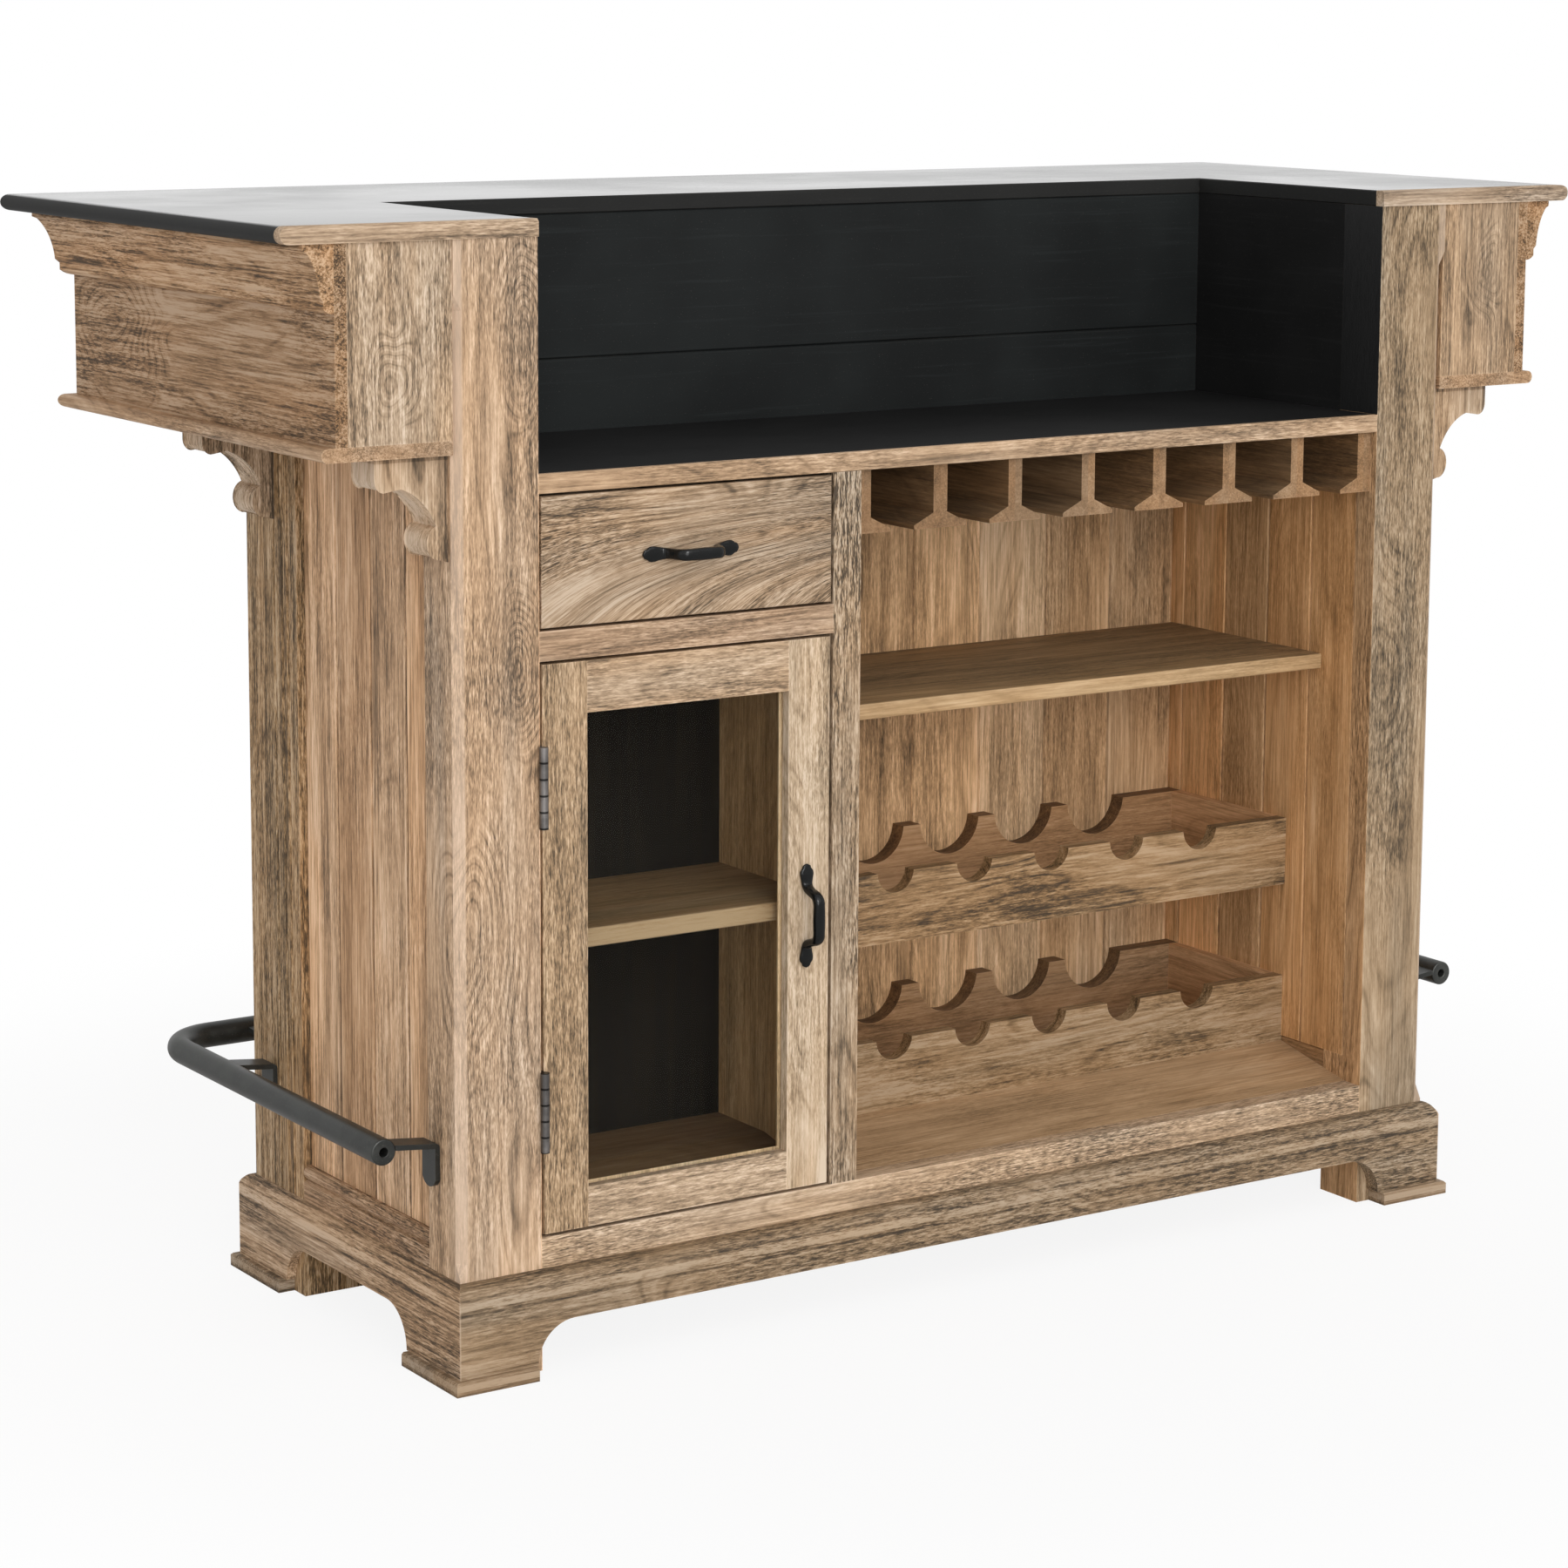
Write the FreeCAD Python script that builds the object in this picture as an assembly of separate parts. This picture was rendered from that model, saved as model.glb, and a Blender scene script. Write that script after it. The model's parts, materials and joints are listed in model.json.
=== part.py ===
import FreeCAD, Part
import math
import os

# Bar counter with a raised guest top, a sunken work well, a bottle bay, a glazed cupboard and a drawer.
# X runs along the counter, +Y points to the guests and Z is up. While it is modelled, Y is zero on the
# working face of the posts. Every piece is moved at the end, so that the origin is under the middle.

Vec = FreeCAD.Vector

# Overall sizes in millimetres
counter_length = 1502.0
counter_height = 1065.0
body_depth = 418.0

# Bar top
top_thickness = 16.0
top_overhang = 23.0
top_lip = 2.0
end_strip_depth = 12.0
end_strip_bevel = 2.5
well_depth = 229.0
well_wall = 16.0
well_wall_gap = 16.0
well_joint_rise = 71.0
well_housing = 3.0

# Crown moulding, and its profile as shares of height and projection
crown_height = 61.0
crown_projection = 30.0
crown_brow_share = 0.09
crown_brow_step_share = 0.12
crown_cove_start_share = 0.12
crown_cove_middle_shares = (0.62, 0.36)
crown_cove_end_shares = (0.46, 0.76)
crown_fillet_shares = (0.35, 0.82)
crown_bead_share = 0.93

# Overhanging frieze box and its soffit
frieze_height = 178.0
frieze_overhang = 116.0
guest_overhang = 134.0
frieze_thickness = 12.0
frieze_setback = 2.0
soffit_thickness = 13.0
soffit_projection = 14.0

# Corbels, and their profile as shares of projection and height
corbel_height = 95.0
corbel_projection = 72.0
corbel_width = 43.0
corbel_front_inset = 12.0
corbel_rear_inset = 15.0
corbel_lip_share = 0.21
corbel_round_middle_shares = (0.97, 0.275)
corbel_round_end_shares = (0.87, 0.305)
corbel_cove_start_shares = (0.38, 0.305)
corbel_cove_middle_shares = (0.19, 0.43)
corbel_cove_end_shares = (0.125, 0.62)
corbel_drop_middle_shares = (0.25, 0.77)
corbel_drop_end_shares = (0.11, 0.96)

# Posts
post_width = 86.0
front_post_depth = 58.0
rear_post_depth = 105.0
post_chamfer = 8.0
post_chamfer_foot = 101.0
post_chamfer_head = 65.0
post_chamfer_stop = 14.0
post_chamfer_tip_share = 0.04
rear_groove_places_share = (0.18, 0.29, 0.45)
rear_groove_depth = 2.5

# Outer panels
panel_recess = 8.0
plank_thickness = 12.0
plank_vee = 2.0
least_plank = 8.0
side_plank_pitch = 69.0
side_plank_start = 51.0
guest_plank_pitch = 87.0
outer_rail_foot = 60.0
outer_rail_top = 132.0
outer_rail_bead = 14.0
outer_rail_bead_depth = 5.0
outer_rail_groove = 2.5
muntin_share = 0.3327
muntin_width = 60.0

# Plinth with bracket feet
plinth_top = 98.0
plinth_projection = 18.0
plinth_side_projection = 10.5
ovolo_height = 18.0
foot_width = 82.5
side_foot_width = 103.0
arch_top = 52.0
shoe_height = 13.0
shoe_projection = 7.0
shoe_setback = 3.0
shoe_bevel = 2.0

# Inside of the counter
base_rail_foot = 56.0
base_rail_top = 127.0
base_rail_depth = 24.0
floor_underside = 118.0
floor_top = 148.0
lining_start = 27.6
lining_thickness = 12.0
lining_foot = 153.5
lining_pitch = 70.0
back_inset = 90.0
back_plank_thickness = 15.0
back_plank_pitch = 87.0

# Work surface
work_thickness = 16.0
lipping_depth = 6.0
lipping_height = 18.0

# Cupboard and drawer column
cupboard_opening = 320.0
stile_width = 31.0
stile_depth = 22.0
divider_thickness = 16.0
drawer_opening_height = 125.0
drawer_rail_height = 27.5
cupboard_back_gap = 116.0
cupboard_back_thickness = 12.0
cupboard_shelf_share = 0.4755
cupboard_shelf_thickness = 18.0
cupboard_shelf_setback = 30.0
bay_shelf_share = 0.7056
bay_shelf_thickness = 16.0
bay_shelf_setback = 78.0
shelf_edge_round = 2.0

# Drawer
drawer_gap = 2.5
drawer_front_thickness = 20.0
drawer_side_thickness = 10.0
drawer_side_clearance = 6.5
drawer_end_gap = 28.0
drawer_side_height = 100.0
drawer_bottom_thickness = 5.0
drawer_bottom_lift = 6.0
drawer_groove = 5.0
runner_height = 12.0
runner_width = 15.0
running_clearance = 0.3
front_edge_round = 1.5

# Door
door_gap = 3.0
door_thickness = 22.0
door_stile_width = 47.0
door_top_rail = 48.0
door_bottom_rail = 38.0
rebate_width = 6.0
rebate_front = 10.0
glass_thickness = 4.0
glass_gap = 0.5
bead_width = 8.0

# Butt hinges
hinge_height = 76.0
hinge_top_inset = 74.5
hinge_bottom_inset = 79.0
hinge_leaf_width = 20.0
hinge_leaf_thickness = 1.2
hinge_axis_forward = 4.5
hinge_barrel_radius = 4.2
hinge_gap = 0.3
hinge_knuckles = 5

# Bow handles: a bow between two flat leaf-shaped feet
drawer_handle_length = 104.0
door_handle_length = 101.0
door_handle_inset = 27.0
handle_reach = 28.0
handle_bow_length = 60.0
handle_bow_slope = 8.0
handle_bow_thickness = 7.0
handle_bow_width = 8.0
handle_bow_round = 8.0
handle_foot_thickness = 3.0
handle_foot_width = 12.6
handle_tip_width = 8.4
handle_tip_length = 5.0

# Door catch
catch_width = 18.0
catch_depth = 17.0
catch_height = 30.0
catch_gap = 0.5
catch_rise_share = 0.80

# Stemware rails
rail_pitch = 89.0
rail_web = 16.0
rail_flange = 61.0
rail_web_foot = 49.0
rail_shoulder = 60.0
rail_drop = 64.0
rail_setback = 9.0

# Bottle racks
rack_height = 72.0
upper_rack_share = 0.2829
rack_depth = 200.0
rack_front_thickness = 15.0
rack_rear_thickness = 20.0
rack_end_thickness = 12.0
scallop_pitch = 97.5
scallop_margin = 118.0
neck_radius = 22.0
neck_depth = 21.0
base_radius = 38.0
base_depth = 36.0

# Foot rail and its brackets
foot_rail_radius = 12.5
foot_rail_height = 222.0
foot_rail_side_offset = 58.0
foot_rail_guest_offset = 87.0
foot_rail_start = 36.0
foot_rail_bend = 50.0
rail_bore_radius = 4.4
rail_bore_depth = 30.0
bracket_width = 25.0
bracket_thickness = 5.0
bracket_drop = 43.0
bracket_rise = 6.0
bracket_bend = 5.0
bracket_end_bow = 8.0
bracket_front_inset = 49.0
bracket_rear_inset = 38.0

# One overrun past a face serves every cut, and one tolerance every comparison of places
overrun = 1.0
same_place = 0.01
quarter_turn = 90
diagonal_share = math.sqrt(1 / 2)

# Places worked out from the sizes above
half_length = counter_length / 2
top_x = half_length
crown_x = top_x - top_overhang
frieze_x = crown_x - crown_projection
post_x = frieze_x - frieze_overhang
bay_x = post_x - post_width
muntin_offset = bay_x * muntin_share
soffit_x = frieze_x + soffit_projection
frieze_y = body_depth + guest_overhang
crown_y = frieze_y + crown_projection
top_y = crown_y + top_overhang
soffit_y = frieze_y + soffit_projection
top_under = counter_height - top_thickness
crown_under = top_under - crown_height
soffit_top = top_under - frieze_height
soffit_under = soffit_top - soffit_thickness
plank_face_x = post_x - panel_recess
plank_inner_x = plank_face_x - plank_thickness
plank_face_y = body_depth - panel_recess
plank_inner_y = plank_face_y - plank_thickness
rear_post_y = body_depth - rear_post_depth
back_plane = body_depth - back_inset
back_outer_y = back_plane + back_plank_thickness
well_reach = back_plane - well_wall - well_wall_gap
rack_front_plane = back_plane - rack_depth
cupboard_back_plane = back_plane - cupboard_back_gap
drawer_depth = back_plane - drawer_end_gap
work_height = counter_height - well_depth
lining_x = bay_x + lining_thickness
plinth_x = post_x + plinth_side_projection
plinth_guest_y = body_depth + plinth_projection
work_under = work_height - work_thickness
lipping_under = work_height - lipping_height
drawer_floor = lipping_under - drawer_opening_height
drawer_rail_foot = drawer_floor - drawer_rail_height
opening_left = -bay_x
opening_right = opening_left + cupboard_opening
stile_right = opening_right + stile_width
divider_left = (opening_right + stile_right - divider_thickness) / 2
divider_right = divider_left + divider_thickness
door_left = opening_left + door_gap
door_right = opening_right - door_gap
door_foot = base_rail_top + door_gap
door_head = drawer_rail_foot - door_gap
drawer_left = opening_left + drawer_gap
drawer_right = opening_right - drawer_gap
drawer_foot = drawer_floor + drawer_gap
drawer_head = lipping_under - drawer_gap
drawer_middle = (drawer_left + drawer_right) / 2
drawer_side_left = opening_left + drawer_side_clearance
drawer_side_right = opening_right - drawer_side_clearance
runner_top = drawer_foot + drawer_side_thickness / 2
runner_foot = runner_top - runner_height
drawer_box_foot = runner_top + running_clearance
drawer_box_head = drawer_box_foot + drawer_side_height
stem_foot = work_under - rail_drop
upper_rack_foot = floor_top + (stem_foot - floor_top) * upper_rack_share
bay_shelf_top = floor_top + (stem_foot - floor_top) * bay_shelf_share
cupboard_shelf_top = floor_top + (runner_foot - floor_top) * cupboard_shelf_share
rail_count = math.floor((bay_x - stile_right) / rail_pitch) - 1
scallop_run = bay_x - divider_right - scallop_margin - base_radius
scallop_count = math.floor(scallop_run / scallop_pitch) + 1
row_shift = Vec(0, -(top_y - handle_reach) / 2, 0)


def face_of(points, place):
    """A flat face. A point with a third entry is reached by an arc through that middle point."""
    edges = []
    for start, end in zip(points, points[1:] + points[:1]):
        first = place(start[0], start[1])
        last = place(end[0], end[1])
        if len(end) > len(("a", "b")):
            edges.append(Part.Arc(first, place(end[2][0], end[2][1]), last).toShape())
        else:
            edges.append(Part.LineSegment(first, last).toShape())
    return Part.Face(Part.Wire(edges))


def along_x(points, x_low, x_high):
    """A solid with a (y, z) outline between two places on X."""
    return face_of(points, lambda a, b: Vec(x_low, a, b)).extrude(Vec(x_high - x_low, 0, 0))


def along_y(points, y_low, y_high):
    """A solid with an (x, z) outline between two places on Y."""
    return face_of(points, lambda a, b: Vec(a, y_low, b)).extrude(Vec(0, y_high - y_low, 0))


def along_z(points, z_low, z_high):
    """A solid with an (x, y) outline between two heights."""
    return face_of(points, lambda a, b: Vec(a, b, z_low)).extrude(Vec(0, 0, z_high - z_low))


def board(x, y, z):
    """A square-edged board between two limits on each axis."""
    return Part.makeBox(x[1] - x[0], y[1] - y[0], z[1] - z[0], Vec(x[0], y[0], z[0]))


def mirrored(shape):
    """The same shape on the other side of the middle of the counter."""
    return shape.mirror(Vec(0, 0, 0), Vec(1, 0, 0))


def pair(shape):
    """A shape on the right with its mirror image on the left."""
    return [mirrored(shape), shape]


def shifted(outline, offset, direction=1):
    """An outline moved by an offset on its first axis, and turned round where the direction is -1."""
    moved = []
    for entry in outline:
        middle = [(offset + direction * spot[0], spot[1]) for spot in entry[2:]]
        moved.append(tuple([offset + direction * entry[0], entry[1]] + middle))
    return moved


def softened(shape, radius, wanted):
    """Round the straight edges whose middle passes the test."""
    edges = []
    for edge in shape.Edges:
        middle = edge.valueAt((edge.FirstParameter + edge.LastParameter) / 2)
        if wanted(middle):
            edges.append(edge)
    return shape.makeFillet(radius, edges)


def near(first, second):
    """True where two coordinates are the same."""
    return math.isclose(first, second, abs_tol=same_place)


def save(name, solids):
    """Write one node, moved so that the origin is under the middle of the counter."""
    moved = []
    for solid in solids:
        copy = solid.copy()
        copy.translate(row_shift)
        moved.append(copy)
    shape = moved[0] if len(moved) == 1 else Part.makeCompound(moved)
    shape.exportStep(os.path.join("parts", name + ".step"))


# Shared outlines

def rounded_slab(x_reach, y_low, y_high, z_low, z_high):
    """A slab with half-round ends and a half-round guest edge that meet in a mitre."""
    radius = (z_high - z_low) / 2
    middle = (z_high + z_low) / 2
    flat = x_reach - radius
    across = [
        (-flat, z_low, (-x_reach, middle)),
        (flat, z_low),
        (flat, z_high, (x_reach, middle)),
        (-flat, z_high),
    ]
    deep = [
        (y_low, z_low),
        (y_high - radius, z_low),
        (y_high - radius, z_high, (y_high, middle)),
        (y_low, z_high),
    ]
    return along_y(across, y_low, y_high).common(along_x(deep, -x_reach, x_reach))


def plank_spans(low, high, anchor, pitch):
    """Start and end of each plank between two limits, with joints at equal pitch from an anchor."""
    joints = [low]
    step = math.ceil((low - anchor) / pitch)
    while anchor + step * pitch < high - least_plank:
        if anchor + step * pitch > low + least_plank:
            joints.append(anchor + step * pitch)
        step += 1
    joints.append(high)
    return list(zip(joints[:-1], joints[1:]))


def plank_outline(start, end, face, back):
    """A plank's section as (run, depth) points, with a small chamfer on both edges of its face."""
    shoulder = face + math.copysign(plank_vee, back - face)
    return [
        (start, back),
        (start, shoulder),
        (start + plank_vee, face),
        (end - plank_vee, face),
        (end, shoulder),
        (end, back),
    ]


def planks_facing_x(spans, face, back, z_low, z_high):
    """Upright planks side by side along Y, with their face towards X."""
    solids = []
    for start, end in spans:
        outline = [(depth, run) for run, depth in plank_outline(start, end, face, back)]
        solids.append(along_z(outline, z_low, z_high))
    return solids


def planks_facing_y(spans, face, back, z_low, z_high):
    """Upright planks side by side along X, with their face towards Y."""
    return [along_z(plank_outline(start, end, face, back), z_low, z_high) for start, end in spans]


# Top of the counter

def top_blank():
    """The whole U-shaped top before it is parted into the board and its end strips."""
    slab = rounded_slab(top_x, -top_lip, top_y, top_under, counter_height)
    well = board((-bay_x, bay_x), (-top_lip - overrun, well_reach),
                 (top_under - overrun, counter_height + overrun))
    return slab.cut(well)


def bar_top():
    strip = board((-top_x - overrun, top_x + overrun), (-top_lip - overrun, end_strip_depth - top_lip),
                  (top_under - overrun, counter_height + overrun))
    return [top_blank().cut(strip)]


def top_end_strips():
    """A strip on the working end of each arm, with a bevel along its upper front edge."""
    zone = board((bay_x, top_x), (-top_lip, end_strip_depth - top_lip), (top_under, counter_height))
    bevel = [
        (-top_lip - overrun, counter_height - end_strip_bevel - overrun),
        (end_strip_bevel - top_lip + overrun, counter_height + overrun),
        (-top_lip - overrun, counter_height + overrun),
    ]
    cutter = along_x(bevel, -top_x, top_x)
    return [top_blank().common(side).cut(cutter) for side in pair(zone)]


def crown_outline():
    """The moulding's section as (projection, height) points: brow, shallow cove, fillet and bead."""
    def at(projection_share, drop_share):
        return (crown_projection * projection_share, top_under - crown_height * drop_share)

    brow = 1 - crown_brow_step_share
    cove_end = at(*crown_cove_end_shares)
    return [
        at(0, 0),
        at(1, 0),
        at(1, crown_brow_share),
        at(brow, crown_cove_start_share),
        (cove_end[0], cove_end[1], at(*crown_cove_middle_shares)),
        at(*crown_fillet_shares),
        at(crown_fillet_shares[0], crown_bead_share),
        at(0, 1),
    ]


def crown_mouldings():
    """Two side lengths and one guest length with mitred corners."""
    side = along_y(shifted(crown_outline(), frieze_x), frieze_setback, crown_y)
    side_plan = [
        (frieze_x, frieze_setback),
        (crown_x, frieze_setback),
        (crown_x, crown_y),
        (frieze_x, frieze_y),
    ]
    guest = along_x(shifted(crown_outline(), frieze_y), -crown_x, crown_x)
    guest_plan = [
        (-frieze_x, frieze_y),
        (frieze_x, frieze_y),
        (crown_x, crown_y),
        (-crown_x, crown_y),
    ]
    side = side.common(along_z(side_plan, crown_under, top_under))
    guest = guest.common(along_z(guest_plan, crown_under, top_under))
    return pair(side) + [guest]


def frieze_boards():
    inner = frieze_x - frieze_thickness
    side = board((inner, frieze_x), (frieze_setback, frieze_y - frieze_thickness), (soffit_top, top_under))
    guest = board((-frieze_x, frieze_x), (frieze_y - frieze_thickness, frieze_y), (soffit_top, top_under))
    return pair(side) + [guest]


def frieze_ends():
    return pair(board((post_x, frieze_x - frieze_thickness),
                      (frieze_setback, frieze_setback + frieze_thickness), (soffit_top, top_under)))


def nosing_outline(inner, outer):
    """A soffit board's section from its inner edge to its half-round outer edge."""
    radius = soffit_thickness / 2
    return [
        (inner, soffit_under),
        (outer - radius, soffit_under),
        (outer - radius, soffit_top, (outer, soffit_under + radius)),
        (inner, soffit_top),
    ]


def soffit_boards():
    """Two side boards and a guest board, mitred, that reach to posts, planks and muntins."""
    z = (soffit_under, soffit_top)
    mitre_y = soffit_y - soffit_x + post_x
    side_plan = [
        (plank_face_x, frieze_setback),
        (soffit_x, frieze_setback),
        (soffit_x, soffit_y),
        (post_x, mitre_y),
        (post_x, body_depth),
        (plank_face_x, body_depth),
    ]
    guest_plan = [
        (-bay_x, plank_face_y),
        (bay_x, plank_face_y),
        (bay_x, body_depth),
        (post_x, body_depth),
        (post_x, mitre_y),
        (soffit_x, soffit_y),
        (-soffit_x, soffit_y),
        (-post_x, mitre_y),
        (-post_x, body_depth),
        (-bay_x, body_depth),
    ]
    side = along_y(nosing_outline(plank_face_x, soffit_x), frieze_setback, soffit_y)
    side = side.common(along_z(side_plan, soffit_under, soffit_top))
    side = side.cut(board((bay_x, post_x), (-overrun, front_post_depth), z))
    side = side.cut(board((bay_x, post_x), (rear_post_y, body_depth), z))
    guest = along_x(nosing_outline(plank_face_y, soffit_y), -soffit_x, soffit_x)
    guest = guest.common(along_z(guest_plan, soffit_under, soffit_top))
    for muntin in pair(board(muntin_span(), (plank_inner_y, body_depth), z)):
        guest = guest.cut(muntin)
    return pair(side) + [guest]


def corbel_outline():
    """The corbel's section as (projection, height) points, from its flat top down to its drop."""
    def at(projection_share, drop_share):
        return (corbel_projection * projection_share, soffit_under - corbel_height * drop_share)

    rounded = at(*corbel_round_end_shares)
    cove = at(*corbel_cove_end_shares)
    drop = at(*corbel_drop_end_shares)
    return [
        at(0, 0),
        at(1, 0),
        at(1, corbel_lip_share),
        (rounded[0], rounded[1], at(*corbel_round_middle_shares)),
        at(*corbel_cove_start_shares),
        (cove[0], cove[1], at(*corbel_cove_middle_shares)),
        (drop[0], drop[1], at(*corbel_drop_middle_shares)),
        at(0, 1),
    ]


def side_corbels():
    outline = shifted(corbel_outline(), post_x)
    rear = body_depth - corbel_rear_inset
    front = along_y(outline, corbel_front_inset, corbel_front_inset + corbel_width)
    back = along_y(outline, rear - corbel_width, rear)
    return pair(front) + pair(back)


def guest_corbels():
    outline = shifted(corbel_outline(), body_depth)
    solids = []
    for middle in (bay_x + post_width / 2, muntin_offset):
        solids += pair(along_x(outline, middle - corbel_width / 2, middle + corbel_width / 2))
    return solids


# Posts and outer panels

def chamfer_cutter():
    """A stopped chamfer on the outer working corner of the right front post."""
    head = counter_height - post_chamfer_head
    heights = (post_chamfer_foot, post_chamfer_foot + post_chamfer_stop, head - post_chamfer_stop, head)
    legs = (post_chamfer * post_chamfer_tip_share, post_chamfer, post_chamfer,
            post_chamfer * post_chamfer_tip_share)
    sections = []
    for height, leg in zip(heights, legs):
        corner = (post_x + post_chamfer, -post_chamfer)
        spots = [
            Vec(corner[0], corner[1], height),
            Vec(corner[0], leg, height),
            Vec(post_x, leg, height),
            Vec(post_x - leg, 0, height),
            Vec(post_x - leg, corner[1], height),
            Vec(corner[0], corner[1], height),
        ]
        sections.append(Part.makePolygon(spots))
    return Part.makeLoft(sections, True, True)


def post_front():
    """The right front post: a stopped chamfer outside and a rebate for the wall lining inside."""
    post = board((bay_x, post_x), (0, front_post_depth), (0, top_under))
    rebate = board((bay_x, lining_x), (lining_start, front_post_depth), (lining_foot, work_under))
    return post.cut(rebate).cut(chamfer_cutter())


def post_rear():
    """The right rear post: rebated for lining and back planks, with grooves down its outer face."""
    post = board((bay_x, post_x), (rear_post_y, body_depth), (0, top_under))
    post = post.cut(board((bay_x, lining_x), (rear_post_y, back_outer_y), (0, top_under)))
    for share in rear_groove_places_share:
        middle = rear_post_y + rear_post_depth * share
        groove = [
            (post_x - rear_groove_depth, middle),
            (post_x + overrun, middle - rear_groove_depth - overrun),
            (post_x + overrun, middle + rear_groove_depth + overrun),
        ]
        post = post.cut(along_z(groove, plinth_top, soffit_under))
    return post


def side_planks():
    spans = plank_spans(front_post_depth, rear_post_y, front_post_depth + side_plank_start, side_plank_pitch)
    return planks_facing_x(spans, plank_face_x, plank_inner_x, outer_rail_top, top_under)


def rail_outline(face):
    """The outer bottom rail as (depth, height) points, with a bead above a groove."""
    bead_foot = outer_rail_top - outer_rail_bead
    bead_root = face - outer_rail_bead_depth
    inner = face - panel_recess - plank_thickness
    return [
        (inner, outer_rail_foot),
        (face, outer_rail_foot),
        (face, bead_foot - outer_rail_groove),
        (bead_root, bead_foot),
        (bead_root, outer_rail_top, (face, bead_foot + outer_rail_bead / 2)),
        (inner, outer_rail_top),
    ]


def side_rails():
    return pair(along_y(rail_outline(post_x), front_post_depth, rear_post_y))


def guest_rail():
    return [along_x(rail_outline(body_depth), -bay_x, bay_x)]


def guest_planks():
    spans = plank_spans(-bay_x, bay_x, 0, guest_plank_pitch)
    return planks_facing_y(spans, plank_face_y, plank_inner_y, outer_rail_top, top_under)


def muntin_span():
    return (muntin_offset - muntin_width / 2, muntin_offset + muntin_width / 2)


def guest_muntins():
    return pair(board(muntin_span(), (plank_face_y, body_depth), (outer_rail_top, soffit_under)))


# Plinth

def ovolo_edge(depth):
    """Points up a plinth board's face and over its quarter-round top, as (depth, height)."""
    ellipse_rise = ovolo_height * diagonal_share
    ellipse_run = depth * (1 - diagonal_share)
    base = plinth_top - ovolo_height
    return [
        (0, shoe_height),
        (depth, shoe_height),
        (depth, base),
        (0, plinth_top, (depth - ellipse_run, base + ellipse_rise)),
    ]


def arch_outline(start, end):
    """The space under a plinth board between its two feet, with quarter-round upper corners."""
    rise = arch_top - shoe_height
    corner = rise * (1 - diagonal_share)
    return [
        (start, -overrun),
        (start, shoe_height),
        (start + rise, arch_top, (start + corner, arch_top - corner)),
        (end - rise, arch_top),
        (end, shoe_height, (end - corner, arch_top - corner)),
        (end, -overrun),
    ]


def long_plinth(face, direction):
    """A plinth board along X on the face at this Y, standing out in this direction."""
    outline = shifted(ovolo_edge(plinth_projection), face, direction)
    outer = face + direction * plinth_projection
    plan = [(-post_x, face), (post_x, face), (plinth_x, outer), (-plinth_x, outer)]
    moulding = along_x(outline, -plinth_x, plinth_x).common(along_z(plan, shoe_height, plinth_top))
    arch_x = plinth_x - foot_width
    limits = sorted((face - direction * overrun, outer + direction * overrun))
    return moulding.cut(along_y(arch_outline(-arch_x, arch_x), limits[0], limits[1]))


def side_plinth():
    """The right plinth board, mitred into the boards of the working and guest sides."""
    outline = shifted(ovolo_edge(plinth_side_projection), post_x)
    plan = [
        (post_x, 0),
        (plinth_x, -plinth_projection),
        (plinth_x, plinth_guest_y),
        (post_x, body_depth),
    ]
    moulding = along_y(outline, -plinth_projection, plinth_guest_y)
    moulding = moulding.common(along_z(plan, shoe_height, plinth_top))
    arch = arch_outline(side_foot_width - plinth_projection, plinth_guest_y - side_foot_width)
    return moulding.cut(along_x(arch, post_x - overrun, plinth_x + overrun))


def corner_shoe(post_face, direction):
    """An L-shaped shoe under the right-hand foot at one corner, with a bevelled top edge."""
    outer_y = post_face + direction * (plinth_projection + shoe_projection)
    inner_y = post_face + direction * (plinth_projection - side_foot_width + shoe_setback)
    inner_x = plinth_x - foot_width + shoe_setback
    outer_x = plinth_x + shoe_projection
    plan = [
        (inner_x, post_face),
        (inner_x, outer_y),
        (outer_x, outer_y),
        (outer_x, inner_y),
        (post_x, inner_y),
        (post_x, post_face),
    ]
    shoe = along_z(plan, 0, shoe_height)

    def outer_top(spot):
        return near(spot.z, shoe_height) and (near(spot.x, outer_x) or near(spot.y, outer_y))

    edges = [edge for edge in shoe.Edges
             if outer_top(edge.valueAt((edge.FirstParameter + edge.LastParameter) / 2))]
    return shoe.makeChamfer(shoe_bevel, edges)


def foot_shoes():
    return pair(corner_shoe(0, -1)) + pair(corner_shoe(body_depth, 1))


# Inside of the counter

def bottom_rail():
    return [board((-bay_x, bay_x), (0, base_rail_depth), (base_rail_foot, base_rail_top))]


def floor_board():
    """The floor of the bay and cupboard, level at the back and sloping down to the bottom rail."""
    outline = [
        (base_rail_depth, floor_underside),
        (back_outer_y, floor_underside),
        (back_outer_y, floor_top),
        (rack_front_plane, floor_top),
        (base_rail_depth, base_rail_top),
    ]
    return [along_x(outline, -bay_x, bay_x)]


def wall_lining():
    spans = plank_spans(lining_start, back_outer_y, lining_start, lining_pitch)
    return planks_facing_x(spans, bay_x, lining_x, lining_foot, work_under)


def back_planks():
    spans = plank_spans(-bay_x, bay_x, bay_x, back_plank_pitch)
    return planks_facing_y(spans, back_plane, back_outer_y, floor_top, work_under)


def work_surface():
    """The black board, lowered behind the well so that the well back stands in a rebate."""
    outline = [
        (lipping_depth, work_under),
        (back_outer_y, work_under),
        (back_outer_y, work_height - well_housing),
        (well_reach, work_height - well_housing),
        (well_reach, work_height),
        (lipping_depth, work_height),
    ]
    return [along_x(outline, -bay_x, bay_x)]


def work_lipping():
    strip = board((-bay_x, bay_x), (0, lipping_depth), (lipping_under, work_height))
    return [softened(strip, front_edge_round, lambda spot: near(spot.y, 0) and near(spot.x, 0))]


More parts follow.
